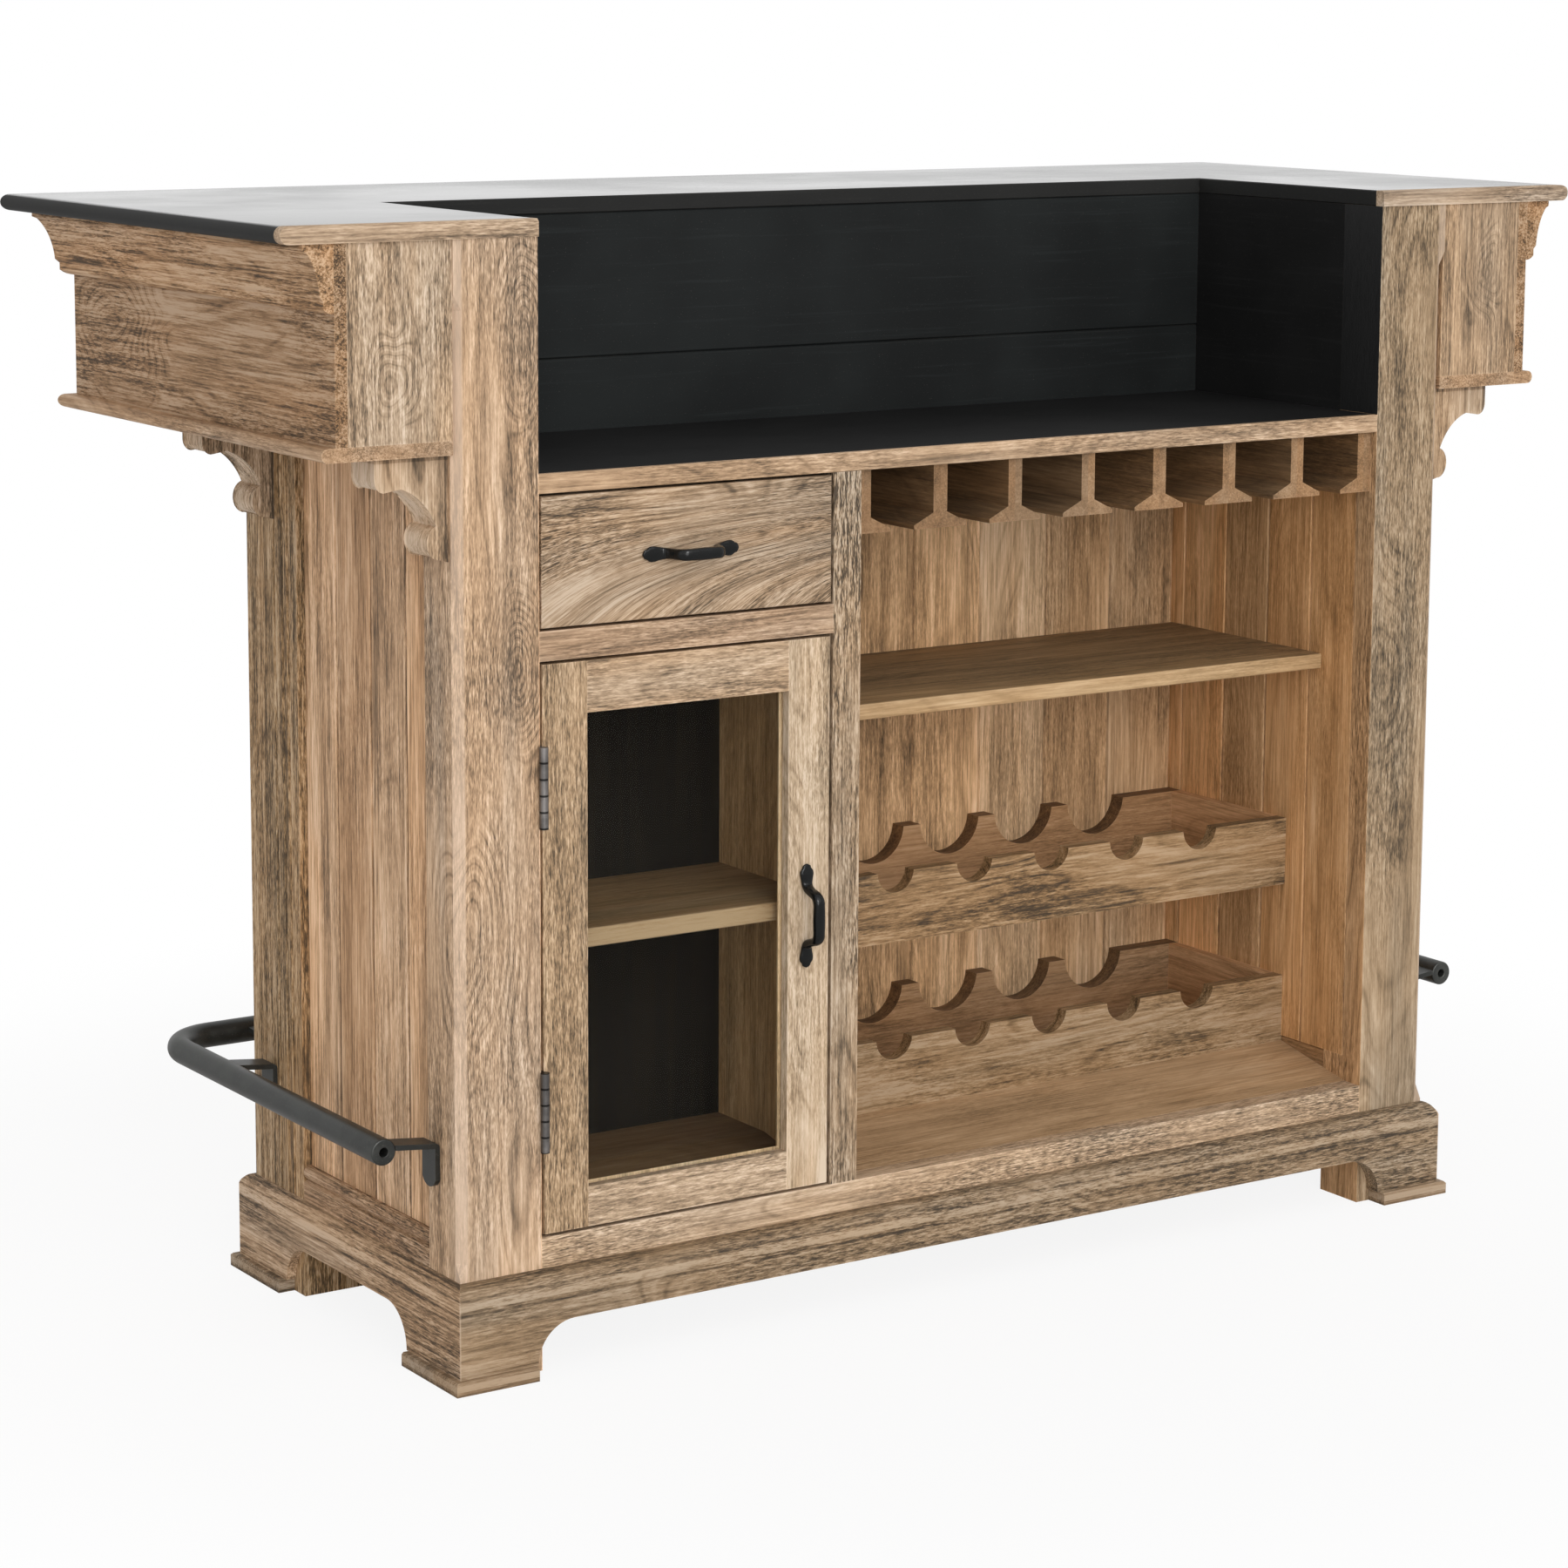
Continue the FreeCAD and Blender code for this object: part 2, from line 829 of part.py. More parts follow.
def well_back():
    """Two boards behind the work well with a small groove at their joint."""
    joint = work_height + well_joint_rise
    solids = []
    for low, high in ((work_height - well_housing, joint), (joint, top_under)):
        section = plank_outline(low, high, well_reach, well_reach + well_wall)
        outline = [(depth, run) for run, depth in section]
        solids.append(along_x(outline, -bay_x - well_wall, bay_x + well_wall))
    return solids


def well_sides():
    return pair(board((bay_x, bay_x + well_wall), (front_post_depth, well_reach), (work_under, top_under)))


def divider_panel():
    outline = [
        (stile_depth, base_rail_top),
        (base_rail_depth, base_rail_top),
        (rack_front_plane, floor_top),
        (back_plane, floor_top),
        (back_plane, work_under),
        (stile_depth, work_under),
    ]
    return [along_x(outline, divider_left, divider_right)]


def divider_stile():
    return [board((opening_right, stile_right), (0, stile_depth), (base_rail_top, lipping_under))]


def drawer_rail():
    return [board((opening_left, opening_right), (0, stile_depth), (drawer_rail_foot, drawer_floor))]


def cupboard_back():
    return [board((opening_left, divider_left),
                  (cupboard_back_plane, cupboard_back_plane + cupboard_back_thickness),
                  (floor_top, runner_foot))]


def shelf(x, y, top, thickness):
    """A shelf with softened front edges."""
    slab = board(x, y, (top - thickness, top))
    return softened(slab, shelf_edge_round,
                    lambda spot: near(spot.y, y[0]) and near(spot.x, (x[0] + x[1]) / 2))


def cupboard_shelf():
    return [shelf((opening_left, divider_left), (cupboard_shelf_setback, cupboard_back_plane),
                  cupboard_shelf_top, cupboard_shelf_thickness)]


def bay_shelf():
    return [shelf((divider_right, bay_x), (bay_shelf_setback, back_plane), bay_shelf_top,
                  bay_shelf_thickness)]


def drawer_runners():
    """Two strips that carry the drawer's sides, on the wall lining and on the divider."""
    y = (stile_depth, drawer_depth)
    z = (runner_foot, runner_top)
    left = board((opening_left, opening_left + runner_width), y, z)
    right = board((drawer_side_right - runner_width + drawer_side_clearance, divider_left), y, z)
    return [left, right]


def catch():
    """A small magnetic catch on the divider, just behind the free edge of the closed door."""
    foot = door_foot + (door_head - door_foot) * catch_rise_share
    y_low = door_thickness + catch_gap
    return [board((divider_left - catch_width, divider_left), (y_low, y_low + catch_depth),
                  (foot, foot + catch_height))]


# Stemware rails and bottle racks

def stemware_rails():
    """T rails under the work surface at equal pitch, with a part rail against each wall."""
    middle = (stile_right + bay_x) / 2
    web = rail_web / 2
    flange = rail_flange / 2
    z = (work_under - rail_drop, work_under)
    window = board((divider_right, bay_x), (rail_setback, back_plane), z)
    window = window.cut(board((divider_right, stile_right), (rail_setback, stile_depth), z))
    solids = []
    for index in range(rail_count + 2):
        centre = middle + (index - (rail_count + 1) / 2) * rail_pitch
        outline = [
            (centre - web, work_under),
            (centre - web, work_under - rail_web_foot),
            (centre - flange, work_under - rail_shoulder),
            (centre - flange, work_under - rail_drop),
            (centre + flange, work_under - rail_drop),
            (centre + flange, work_under - rail_shoulder),
            (centre + web, work_under - rail_web_foot),
            (centre + web, work_under),
        ]
        solids += along_y(outline, rail_setback, back_plane).common(window).Solids
    wall_z = (work_under - rail_web_foot, work_under)
    reach = (rail_count + 1) / 2 * rail_pitch
    left_web = board((divider_right, middle - reach), (rail_setback, back_plane), wall_z).common(window)
    right_web = board((middle + reach, bay_x), (rail_setback, back_plane), wall_z)
    first = solids[0].fuse(left_web).removeSplitter()
    last = solids[-1].fuse(right_web).removeSplitter()
    return first.Solids + solids[1:-1] + last.Solids


def scalloped_board(y_low, y_high, foot, radius, depth):
    """A board with a row of round notches in its upper edge, for necks or bases of bottles."""
    top = foot + rack_height
    slab = board((divider_right, bay_x), (y_low, y_high), (foot, top))
    for index in range(scallop_count):
        centre = Vec(bay_x - scallop_margin - index * scallop_pitch, y_low - overrun, top + radius - depth)
        slab = slab.cut(Part.makeCylinder(radius, y_high - y_low + 2 * overrun, centre, Vec(0, 1, 0)))
    return slab


def rack_feet():
    return (floor_top, upper_rack_foot)


def rack_fronts():
    rear = rack_front_plane + rack_front_thickness
    return [scalloped_board(rack_front_plane, rear, foot, neck_radius, neck_depth) for foot in rack_feet()]


def rack_rears():
    return [scalloped_board(back_plane - rack_rear_thickness, back_plane, foot, base_radius, base_depth)
            for foot in rack_feet()]


def rack_ends():
    y = (rack_front_plane + rack_front_thickness, back_plane - rack_rear_thickness)
    solids = []
    for foot in rack_feet():
        z = (foot, foot + rack_height)
        solids.append(board((divider_right, divider_right + rack_end_thickness), y, z))
        solids.append(board((bay_x - rack_end_thickness, bay_x), y, z))
    return solids


# Drawer

def drawer_front():
    front = board((drawer_left, drawer_right), (0, drawer_front_thickness), (drawer_foot, drawer_head))
    return [softened(front, front_edge_round, lambda spot: near(spot.y, 0))]


def drawer_bottom_zone(overlap):
    """The bottom board's place, which reaches into a groove in each side."""
    foot = drawer_box_foot + drawer_bottom_lift
    return board((drawer_side_left + drawer_side_thickness - overlap,
                  drawer_side_right - drawer_side_thickness + overlap),
                 (drawer_front_thickness, drawer_depth), (foot, foot + drawer_bottom_thickness))


def drawer_sides():
    y = (drawer_front_thickness, drawer_depth)
    z = (drawer_box_foot, drawer_box_head)
    left = board((drawer_side_left, drawer_side_left + drawer_side_thickness), y, z)
    right = board((drawer_side_right - drawer_side_thickness, drawer_side_right), y, z)
    return [side.cut(drawer_bottom_zone(drawer_groove)) for side in (left, right)]


def drawer_bottom():
    return [drawer_bottom_zone(drawer_groove)]


def drawer_back():
    return [board((drawer_side_left + drawer_side_thickness, drawer_side_right - drawer_side_thickness),
                  (drawer_depth - drawer_side_thickness, drawer_depth),
                  (drawer_box_foot + drawer_bottom_lift + drawer_bottom_thickness, drawer_box_head))]


# Bow handles

def rounded_corners(points, radius):
    """An outline whose inner points are rounded: each becomes two tangent points joined by an arc."""
    outline = [points[0]]
    for before, corner, after in zip(points, points[1:], points[2:]):
        spot = Vec(corner[0], corner[1], 0)
        back = (Vec(before[0], before[1], 0) - spot).normalize()
        ahead = (Vec(after[0], after[1], 0) - spot).normalize()
        half_angle = back.getAngle(ahead) / 2
        start = spot + back * (radius / math.tan(half_angle))
        end = spot + ahead * (radius / math.tan(half_angle))
        inward = (back + ahead).normalize()
        middle = spot + inward * (radius / math.sin(half_angle) - radius)
        outline.append((start.x, start.y))
        outline.append((end.x, end.y, (middle.x, middle.y)))
    outline.append(points[-1])
    return outline


def handle_bow():
    """The bow as a bent flat bar seen from the side."""
    foot = handle_bow_length / 2
    crest = foot - handle_bow_slope
    thin = handle_bow_thickness
    outer = [(-foot, 0), (-crest, -handle_reach), (crest, -handle_reach), (foot, 0)]
    inner = [(foot - thin, 0), (crest - thin, thin - handle_reach), (thin - crest, thin - handle_reach),
             (thin - foot, 0)]
    outline = rounded_corners(outer, handle_bow_round + thin) + rounded_corners(inner, handle_bow_round)
    return along_z(outline, -handle_bow_width / 2, handle_bow_width / 2)


def handle_foot(length):
    """The flat leaf-shaped foot on the right: a neck, a wide middle and a rounded tip."""
    root = handle_bow_length / 2 - handle_bow_thickness
    neck = handle_bow_length / 2
    shoulder = length / 2 - handle_tip_length
    widest = (neck + shoulder) / 2
    neck_half = handle_bow_width / 2
    foot_half = handle_foot_width / 2
    tip_half = handle_tip_width / 2
    outline = [
        (root, -neck_half),
        (neck, -neck_half),
        (shoulder, -tip_half, (widest, -foot_half)),
        (shoulder, tip_half, (length / 2, 0)),
        (neck, neck_half, (widest, foot_half)),
        (root, neck_half),
    ]
    return along_y(outline, -handle_foot_thickness, 0)


def bow_handle(length):
    """A handle along X on a face at Y zero: two flat feet that the bow rises from."""
    handle = handle_bow()
    for foot in pair(handle_foot(length)):
        handle = handle.fuse(foot)
    return handle.removeSplitter()


def drawer_handle():
    handle = bow_handle(drawer_handle_length)
    handle.translate(Vec(drawer_middle, 0, (drawer_foot + drawer_head) / 2))
    return handle.Solids


def door_handle():
    handle = bow_handle(door_handle_length)
    handle.rotate(Vec(0, 0, 0), Vec(0, 1, 0), quarter_turn)
    handle.translate(Vec(door_right - door_handle_inset, 0, (door_foot + door_head) / 2))
    return handle.Solids


# Door

def door_rebate():
    """The recess behind the frame that takes the glass and its beads."""
    return board((door_left + door_stile_width - rebate_width, door_right - door_stile_width + rebate_width),
                 (rebate_front, door_thickness + overrun),
                 (door_foot + door_bottom_rail - rebate_width, door_head - door_top_rail + rebate_width))


def door_stiles():
    y = (0, door_thickness)
    z = (door_foot, door_head)
    left = board((door_left, door_left + door_stile_width), y, z)
    right = board((door_right - door_stile_width, door_right), y, z)
    left = softened(left, front_edge_round, lambda spot: near(spot.y, 0) and near(spot.x, door_left))
    right = softened(right, front_edge_round, lambda spot: near(spot.y, 0) and near(spot.x, door_right))
    return [stile.cut(door_rebate()) for stile in (left, right)]


def door_rails():
    x = (door_left + door_stile_width, door_right - door_stile_width)
    y = (0, door_thickness)
    lower = board(x, y, (door_foot, door_foot + door_bottom_rail))
    upper = board(x, y, (door_head - door_top_rail, door_head))
    return [rail.cut(door_rebate()) for rail in (lower, upper)]


def glass_limits(gap):
    x = (door_left + door_stile_width - rebate_width + gap,
         door_right - door_stile_width + rebate_width - gap)
    z = (door_foot + door_bottom_rail - rebate_width + gap, door_head - door_top_rail + rebate_width - gap)
    return x, z


def door_glass():
    x, z = glass_limits(glass_gap)
    return [board(x, (rebate_front, rebate_front + glass_thickness), z)]


def glazing_beads():
    """Four mitred quarter-round beads behind the glass."""
    x, z = glass_limits(0)
    y_low = rebate_front + glass_thickness
    depth = door_thickness - y_low
    solids = []
    inner_x = (x[0] + bead_width, x[1] - bead_width)
    inner_z = (z[0] + bead_width, z[1] - bead_width)
    plans = (
        [(x[0], z[0]), (x[1], z[0]), (inner_x[1], inner_z[0]), (inner_x[0], inner_z[0])],
        [(x[0], z[1]), (x[1], z[1]), (inner_x[1], inner_z[1]), (inner_x[0], inner_z[1])],
    )
    for plan, edge, inward in zip(plans, z, (1, -1)):
        bow = (y_low + depth * diagonal_share, edge + inward * bead_width * diagonal_share)
        outline = [(y_low, edge), (door_thickness, edge), (y_low, edge + inward * bead_width, bow)]
        solids.append(along_x(outline, x[0], x[1]).common(along_y(plan, y_low, door_thickness)))
    plans = (
        [(x[0], z[0]), (inner_x[0], inner_z[0]), (inner_x[0], inner_z[1]), (x[0], z[1])],
        [(x[1], z[0]), (inner_x[1], inner_z[0]), (inner_x[1], inner_z[1]), (x[1], z[1])],
    )
    for plan, edge, inward in zip(plans, x, (1, -1)):
        bow = (edge + inward * bead_width * diagonal_share, y_low + depth * diagonal_share)
        outline = [(edge, y_low), (edge, door_thickness), (edge + inward * bead_width, y_low, bow)]
        solids.append(along_z(outline, z[0], z[1]).common(along_y(plan, y_low, door_thickness)))
    return solids


# Butt hinges

def knuckle_zones(foot, wanted, spread):
    """Height limits of every other knuckle, widened by a gap at both ends."""
    step = hinge_height / hinge_knuckles
    zones = []
    for index in range(hinge_knuckles):
        if index % 2 == wanted:
            zones.append((foot + index * step - spread, foot + (index + 1) * step + spread))
    return zones


def hinge_axis_x():
    return (opening_left + door_left) / 2


def rod(radius, z_low, z_high):
    """A round bar on the hinge axis."""
    return Part.makeCylinder(radius, z_high - z_low, Vec(hinge_axis_x(), -hinge_axis_forward, z_low))


def hinge_leaf(foot, outer, own, other):
    """One leaf: a plate and its own knuckles, clear of the other leaf's knuckles."""
    inner = outer + math.copysign(hinge_leaf_thickness, hinge_axis_x() - outer)
    limits = sorted((outer, inner))
    leaf = board(limits, (-hinge_axis_forward, hinge_leaf_width - hinge_axis_forward),
                 (foot, foot + hinge_height))
    clear = hinge_barrel_radius + hinge_gap - hinge_axis_forward
    for low, high in knuckle_zones(foot, other, hinge_gap / 2):
        leaf = leaf.cut(board(limits, (-hinge_axis_forward, clear), (low, high)))
    for low, high in knuckle_zones(foot, own, -hinge_gap / 2):
        leaf = leaf.fuse(rod(hinge_barrel_radius, low, high))
    return leaf


def hinge_feet():
    return (door_foot + hinge_bottom_inset, door_head - hinge_top_inset - hinge_height)


def hinge_frame_leaves():
    """Leaves on the post with three knuckles each."""
    return [hinge_leaf(foot, opening_left, 0, 1).removeSplitter() for foot in hinge_feet()]


def hinge_door_leaves():
    """Leaves on the door with two knuckles each."""
    return [hinge_leaf(foot, door_left, 1, 0).removeSplitter() for foot in hinge_feet()]


# Foot rail

def rail_bar():
    """A round bar along one side, round two bends and back along the other side."""
    radius = foot_rail_radius
    x = post_x + foot_rail_side_offset
    y = body_depth + foot_rail_guest_offset
    bend = foot_rail_bend
    run = y - bend - foot_rail_start
    side = Part.makeCylinder(radius, run, Vec(x, foot_rail_start, foot_rail_height), Vec(0, 1, 0))
    ring = Part.Circle(Vec(x, y - bend, foot_rail_height), Vec(0, 1, 0), radius).toShape()
    corner = Vec(x - bend, y - bend, foot_rail_height)
    elbow = Part.Face(Part.Wire(ring)).revolve(corner, Vec(0, 0, 1), quarter_turn)
    length = 2 * (x - bend)
    bar = Part.makeCylinder(radius, length, Vec(bend - x, y, foot_rail_height), Vec(1, 0, 0))
    for piece in pair(side) + pair(elbow):
        bar = bar.fuse(piece)
    return bar.removeSplitter()


def foot_rail():
    """The bar with a small bore in each end."""
    start = Vec(post_x + foot_rail_side_offset, foot_rail_start - overrun, foot_rail_height)
    bore = Part.makeCylinder(rail_bore_radius, rail_bore_depth + overrun, start, Vec(0, 1, 0))
    bar = rail_bar()
    for hole in pair(bore):
        bar = bar.cut(hole)
    return [bar]


def bracket(reach):
    """A flat bar bent up from a plate with a round end, on a face at Y zero and reaching along +Y."""
    thick = bracket_thickness
    bend = bracket_bend
    top = foot_rail_height
    foot = top - bracket_drop
    half = bracket_width / 2
    middle = bend * (1 - diagonal_share)
    bent = along_x([
        (0, foot),
        (thick, foot),
        (thick, top - thick),
        (reach, top - thick + bracket_rise),
        (reach, top + bracket_rise),
        (bend, top),
        (0, top - bend, (middle, top - middle)),
    ], -half, half)
    tongue = along_y([
        (-half, foot + bracket_end_bow),
        (half, foot + bracket_end_bow, (0, foot)),
        (half, top + bracket_rise + overrun),
        (-half, top + bracket_rise + overrun),
    ], 0, reach)
    return bent.common(tongue)


def on_right_side(shape, y):
    """A shape made on a face at Y zero, turned onto the right-hand side face at this Y."""
    turned = shape.copy()
    turned.rotate(Vec(0, 0, 0), Vec(0, 0, 1), -quarter_turn)
    turned.translate(Vec(post_x, y, 0))
    return turned


def on_guest_side(shape, x):
    """A shape made on a face at Y zero, moved onto the guest face at this X."""
    moved = shape.copy()
    moved.translate(Vec(x, body_depth, 0))
    return moved


def rail_brackets():
    """Eight brackets that reach from the posts and muntins to the bar."""
    bar = rail_bar()
    solids = []
    for place in (bracket_front_inset, body_depth - bracket_rear_inset):
        solids += pair(on_right_side(bracket(foot_rail_side_offset), place).cut(bar))
    for place in (bay_x + post_width / 2, muntin_offset):
        solids += pair(on_guest_side(bracket(foot_rail_guest_offset), place).cut(bar))
    return solids


def main():
    os.makedirs("parts", exist_ok=True)
    save("bar_top", bar_top())
    save("top_end_strips", top_end_strips())
    save("crown_mouldings", crown_mouldings())
    save("frieze_boards", frieze_boards())
    save("frieze_ends", frieze_ends())
    save("soffit_boards", soffit_boards())
    save("side_corbels", side_corbels())
    save("guest_corbels", guest_corbels())
    save("post_front_right", [post_front()])
    save("post_front_left", [mirrored(post_front())])
    save("post_rear_right", [post_rear()])
    save("post_rear_left", [mirrored(post_rear())])
    save("side_planks_right", side_planks())
    save("side_planks_left", [mirrored(plank) for plank in side_planks()])
    save("side_rails", side_rails())
    save("guest_rail", guest_rail())
    save("guest_planks", guest_planks())
    save("guest_muntins", guest_muntins())
    save("plinth_front", [long_plinth(0, -1)])
    save("plinth_guest", [long_plinth(body_depth, 1)])
    save("plinth_right", [side_plinth()])
    save("plinth_left", [mirrored(side_plinth())])
    save("foot_shoes", foot_shoes())
    save("bottom_rail", bottom_rail())
    save("floor_board", floor_board())
    save("wall_lining_right", wall_lining())
    save("wall_lining_left", [mirrored(plank) for plank in wall_lining()])
    save("back_planks", back_planks())
    save("work_surface", work_surface())
    save("work_lipping", work_lipping())
    save("well_back", well_back())
    save("well_sides", well_sides())
    save("divider_panel", divider_panel())
    save("divider_stile", divider_stile())
    save("drawer_rail", drawer_rail())
    save("cupboard_back", cupboard_back())
    save("cupboard_shelf", cupboard_shelf())
    save("bay_shelf", bay_shelf())
    save("drawer_runners", drawer_runners())
    save("catch", catch())
    save("stemware_rails", stemware_rails())
    save("rack_fronts", rack_fronts())
    save("rack_rears", rack_rears())
    save("rack_ends", rack_ends())
    save("drawer_front", drawer_front())
    save("drawer_sides", drawer_sides())
    save("drawer_bottom", drawer_bottom())
    save("drawer_back", drawer_back())
    save("drawer_handle", drawer_handle())
    save("door_handle", door_handle())
    save("door_stiles", door_stiles())
    save("door_rails", door_rails())
    save("door_glass", door_glass())
    save("glazing_beads", glazing_beads())
    save("hinge_frame_leaves", hinge_frame_leaves())
    save("hinge_door_leaves", hinge_door_leaves())
    save("foot_rail", foot_rail())
    save("rail_brackets", rail_brackets())


main()
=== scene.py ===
"""A U-shaped bar counter of weathered wood with a black top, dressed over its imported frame."""

import json
import logging
import math
from dataclasses import dataclass
from enum import Enum
from functools import cached_property
from typing import Optional, Sequence

import bpy
import numpy as np
from mathutils import Matrix, Vector

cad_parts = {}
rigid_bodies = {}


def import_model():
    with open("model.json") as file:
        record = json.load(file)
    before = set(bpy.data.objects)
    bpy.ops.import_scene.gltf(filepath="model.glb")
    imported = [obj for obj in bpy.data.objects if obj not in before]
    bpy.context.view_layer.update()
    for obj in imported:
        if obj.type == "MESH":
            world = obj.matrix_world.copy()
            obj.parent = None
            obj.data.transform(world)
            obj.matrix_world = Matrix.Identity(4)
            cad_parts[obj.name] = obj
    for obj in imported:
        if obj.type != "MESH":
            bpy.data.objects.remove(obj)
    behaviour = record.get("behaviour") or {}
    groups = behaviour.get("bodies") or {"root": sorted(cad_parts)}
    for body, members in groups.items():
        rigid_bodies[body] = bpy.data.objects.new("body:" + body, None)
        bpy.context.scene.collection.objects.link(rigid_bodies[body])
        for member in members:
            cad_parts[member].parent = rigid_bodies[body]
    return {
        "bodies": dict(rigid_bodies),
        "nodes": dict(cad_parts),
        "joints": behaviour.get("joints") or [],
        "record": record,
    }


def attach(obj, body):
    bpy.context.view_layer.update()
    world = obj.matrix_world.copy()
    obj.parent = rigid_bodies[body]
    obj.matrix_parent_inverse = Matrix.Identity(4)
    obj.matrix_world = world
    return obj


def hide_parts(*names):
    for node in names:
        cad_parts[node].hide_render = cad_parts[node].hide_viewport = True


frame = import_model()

LOG = logging.getLogger("bar_counter")

MM = 0.001
SHARP_ANGLE = math.radians(32.0)

# Where the posts' working face is on the frame's y, in millimetres. Places in millimetres count from it.
ROW_SHIFT = -288.5

Rgb = tuple[float, float, float]
Size = tuple[float, float, float]
Pair = tuple[float, float]
Socket = bpy.types.NodeSocket
Shape = tuple[np.ndarray, list]


class Axis(Enum):
    """An axis of the frame, which fibres follow or boards lie side by side on."""

    X = 0
    Y = 1
    Z = 2


class Side(Enum):
    """The three sides of the counter that its mouldings run round."""

    LEFT = -1
    GUEST = 0
    RIGHT = 1


def paint_value(rgb: Rgb) -> tuple[float, float, float, float]:
    """Turns a colour as a photograph shows it into the light that a surface sends back.

    Args:
        rgb: red, green and blue from 0 to 255.

    Returns:
        The linear colour with full alpha.
    """
    shares = np.asarray(rgb, float) / 255.0
    linear = np.where(shares <= 0.04045, shares / 12.92, ((shares + 0.055) / 1.055) ** 2.4)
    return (*linear.tolist(), 1.0)


def scaled(values: Size, factor: float) -> Size:
    """Multiplies three numbers by a factor."""
    return tuple(factor * value for value in values)


def to_scene(points: np.ndarray) -> np.ndarray:
    """Moves points in millimetres, whose y starts at the posts' working face, into the frame's metres."""
    return (np.array(points, float) + (0.0, ROW_SHIFT, 0.0)) * MM


class Sketch:
    """The node tree of a material or of the world, written one step at a time."""

    def __init__(
        self,
        owner: bpy.types.Material | bpy.types.World,
        shader: str = "BsdfPrincipled",
        output: str = "OutputMaterial",
    ) -> None:
        """Starts an empty tree with a shader and an output."""
        owner.use_nodes = True
        self.owner = owner
        self.tree = owner.node_tree
        self.tree.nodes.clear()
        self.shader = self.tree.nodes.new("ShaderNode" + shader)
        self.output = self.tree.nodes.new("ShaderNode" + output)
        self.feed(self.output.inputs[0], self.shader.outputs[0])

    def feed(self, socket: Socket, value: object) -> None:
        """Puts a number, a vector, a colour or another node's output into a socket.

        Args:
            socket: the input to fill.
            value: what goes into it. A colour of three numbers is as a photograph shows it.
        """
        if isinstance(value, Socket):
            self.tree.links.new(value, socket)
        elif socket.type == "RGBA" and len(value) == 3:
            socket.default_value = paint_value(value)
        else:
            socket.default_value = value

    def fill(self, node: bpy.types.Node, inputs: dict) -> None:
        """Feeds a node's inputs, which are given by number or name."""
        for key, value in inputs.items():
            self.feed(node.inputs[key], value)

    def add(self, kind: str, inputs: dict, output: int | str = 0, **settings: object) -> Socket:
        """Adds a node and feeds its inputs.

        Args:
            kind: the node's type name without its common start.
            inputs: what goes into its inputs, by number or name.
            output: the number or name of the output that is wanted.
            settings: properties of the node by name.

        Returns:
            The wanted output.
        """
        made = self.tree.nodes.new("ShaderNode" + kind)
        for key, value in settings.items():
            setattr(made, key, value)
        self.fill(made, inputs)
        return made.outputs[output]

    def sum(self, operation: str, *values: object) -> Socket:
        """Works out a number from others, by the named operation."""
        return self.add("Math", dict(enumerate(values)), operation=operation)

    def times(self, first: object, second: object) -> Socket:
        """Multiplies two numbers."""
        return self.sum("MULTIPLY", first, second)

    def less(self, first: object, second: object) -> Socket:
        """Takes the second number from the first."""
        return self.sum("SUBTRACT", first, second)

    def more(self, value: object, factor: object, base: object) -> Socket:
        """Multiplies a number by a factor and adds a base."""
        return self.sum("MULTIPLY_ADD", value, factor, base)

    def vector(self, operation: str, *values: object, output: str = "Vector") -> Socket:
        """Works out a vector, or the number that is its Value, from other vectors."""
        return self.add("VectorMath", dict(enumerate(values)), output, operation=operation)

    @cached_property
    def at(self) -> Socket:
        """The object's own coordinates, in metres."""
        return self.add("TexCoord", {}, "Object")

    @cached_property
    def fibre(self) -> Socket:
        """The coordinates that random fields are read at."""
        return self.at

    def stretch(self, scale: Size, start: float = 0.0) -> Socket:
        """Scales the fields' coordinates to repeats a metre, and moves them along x."""
        return self.add("Mapping", {"Vector": self.fibre, "Scale": scale, "Location": (start, 0.0, 0.0)})

    def noise(
        self, scale: Size, detail: float, roughness: float, twist: float = 0.0, start: float = 0.0
    ) -> Socket:
        """Reads a soft random field, a number around a half.

        Args:
            scale: repeats a metre on each axis.
            detail: how many finer layers are added.
            roughness: how strong those layers are.
            twist: how far the field is bent by itself.
            start: the step along x that tells one field from the next.

        Returns:
            The field.
        """
        names = ("Vector", "Scale", "Detail", "Roughness", "Distortion")
        values = (self.stretch(scale, start), 1.0, detail, roughness, twist)
        return self.add("TexNoise", dict(zip(names, values)), "Fac")

    def between(self, value: object, *ends: float) -> Socket:
        """Maps a number smoothly from between two ends to between nought and one, or the next two."""
        return self.add("MapRange", dict(enumerate((value, *ends))), interpolation_type="SMOOTHSTEP")

    def over(self, value: object, ends: Pair, share: object, under: object, colour: object) -> Socket:
        """Lays a share of a colour over another, more of it where a field goes from one end to the other."""
        return self.blend(self.times(self.between(value, *ends), share), under, colour)

    def blend(self, share: object, under: object, over: object, way: str = "MIX") -> Socket:
        """Lays a share of one colour over another."""
        return self.add("Mix", {0: share, 6: under, 7: over}, 2, data_type="RGBA", blend_type=way)

    def tinted(self, share: object, colour: object, cast: object) -> Socket:
        """Multiplies a share of a colour by a cast."""
        return self.blend(share, colour, self.blend(1.0, colour, cast, "MULTIPLY"))

    def ramp(self, value: object, stops: Sequence[tuple[float, Rgb]]) -> Socket:
        """Turns a number into a colour that runs through the given ones.

        Args:
            value: the number.
            stops: places from nought to one and their colours.

        Returns:
            The colour.
        """
        made = self.add("ValToRGB", {0: value})
        band = made.node.color_ramp
        while len(band.elements) < len(stops):
            band.elements.new(0.5)
        for element, (position, colour) in zip(band.elements, stops):
            element.position = position
            element.color = paint_value(colour)
        return made

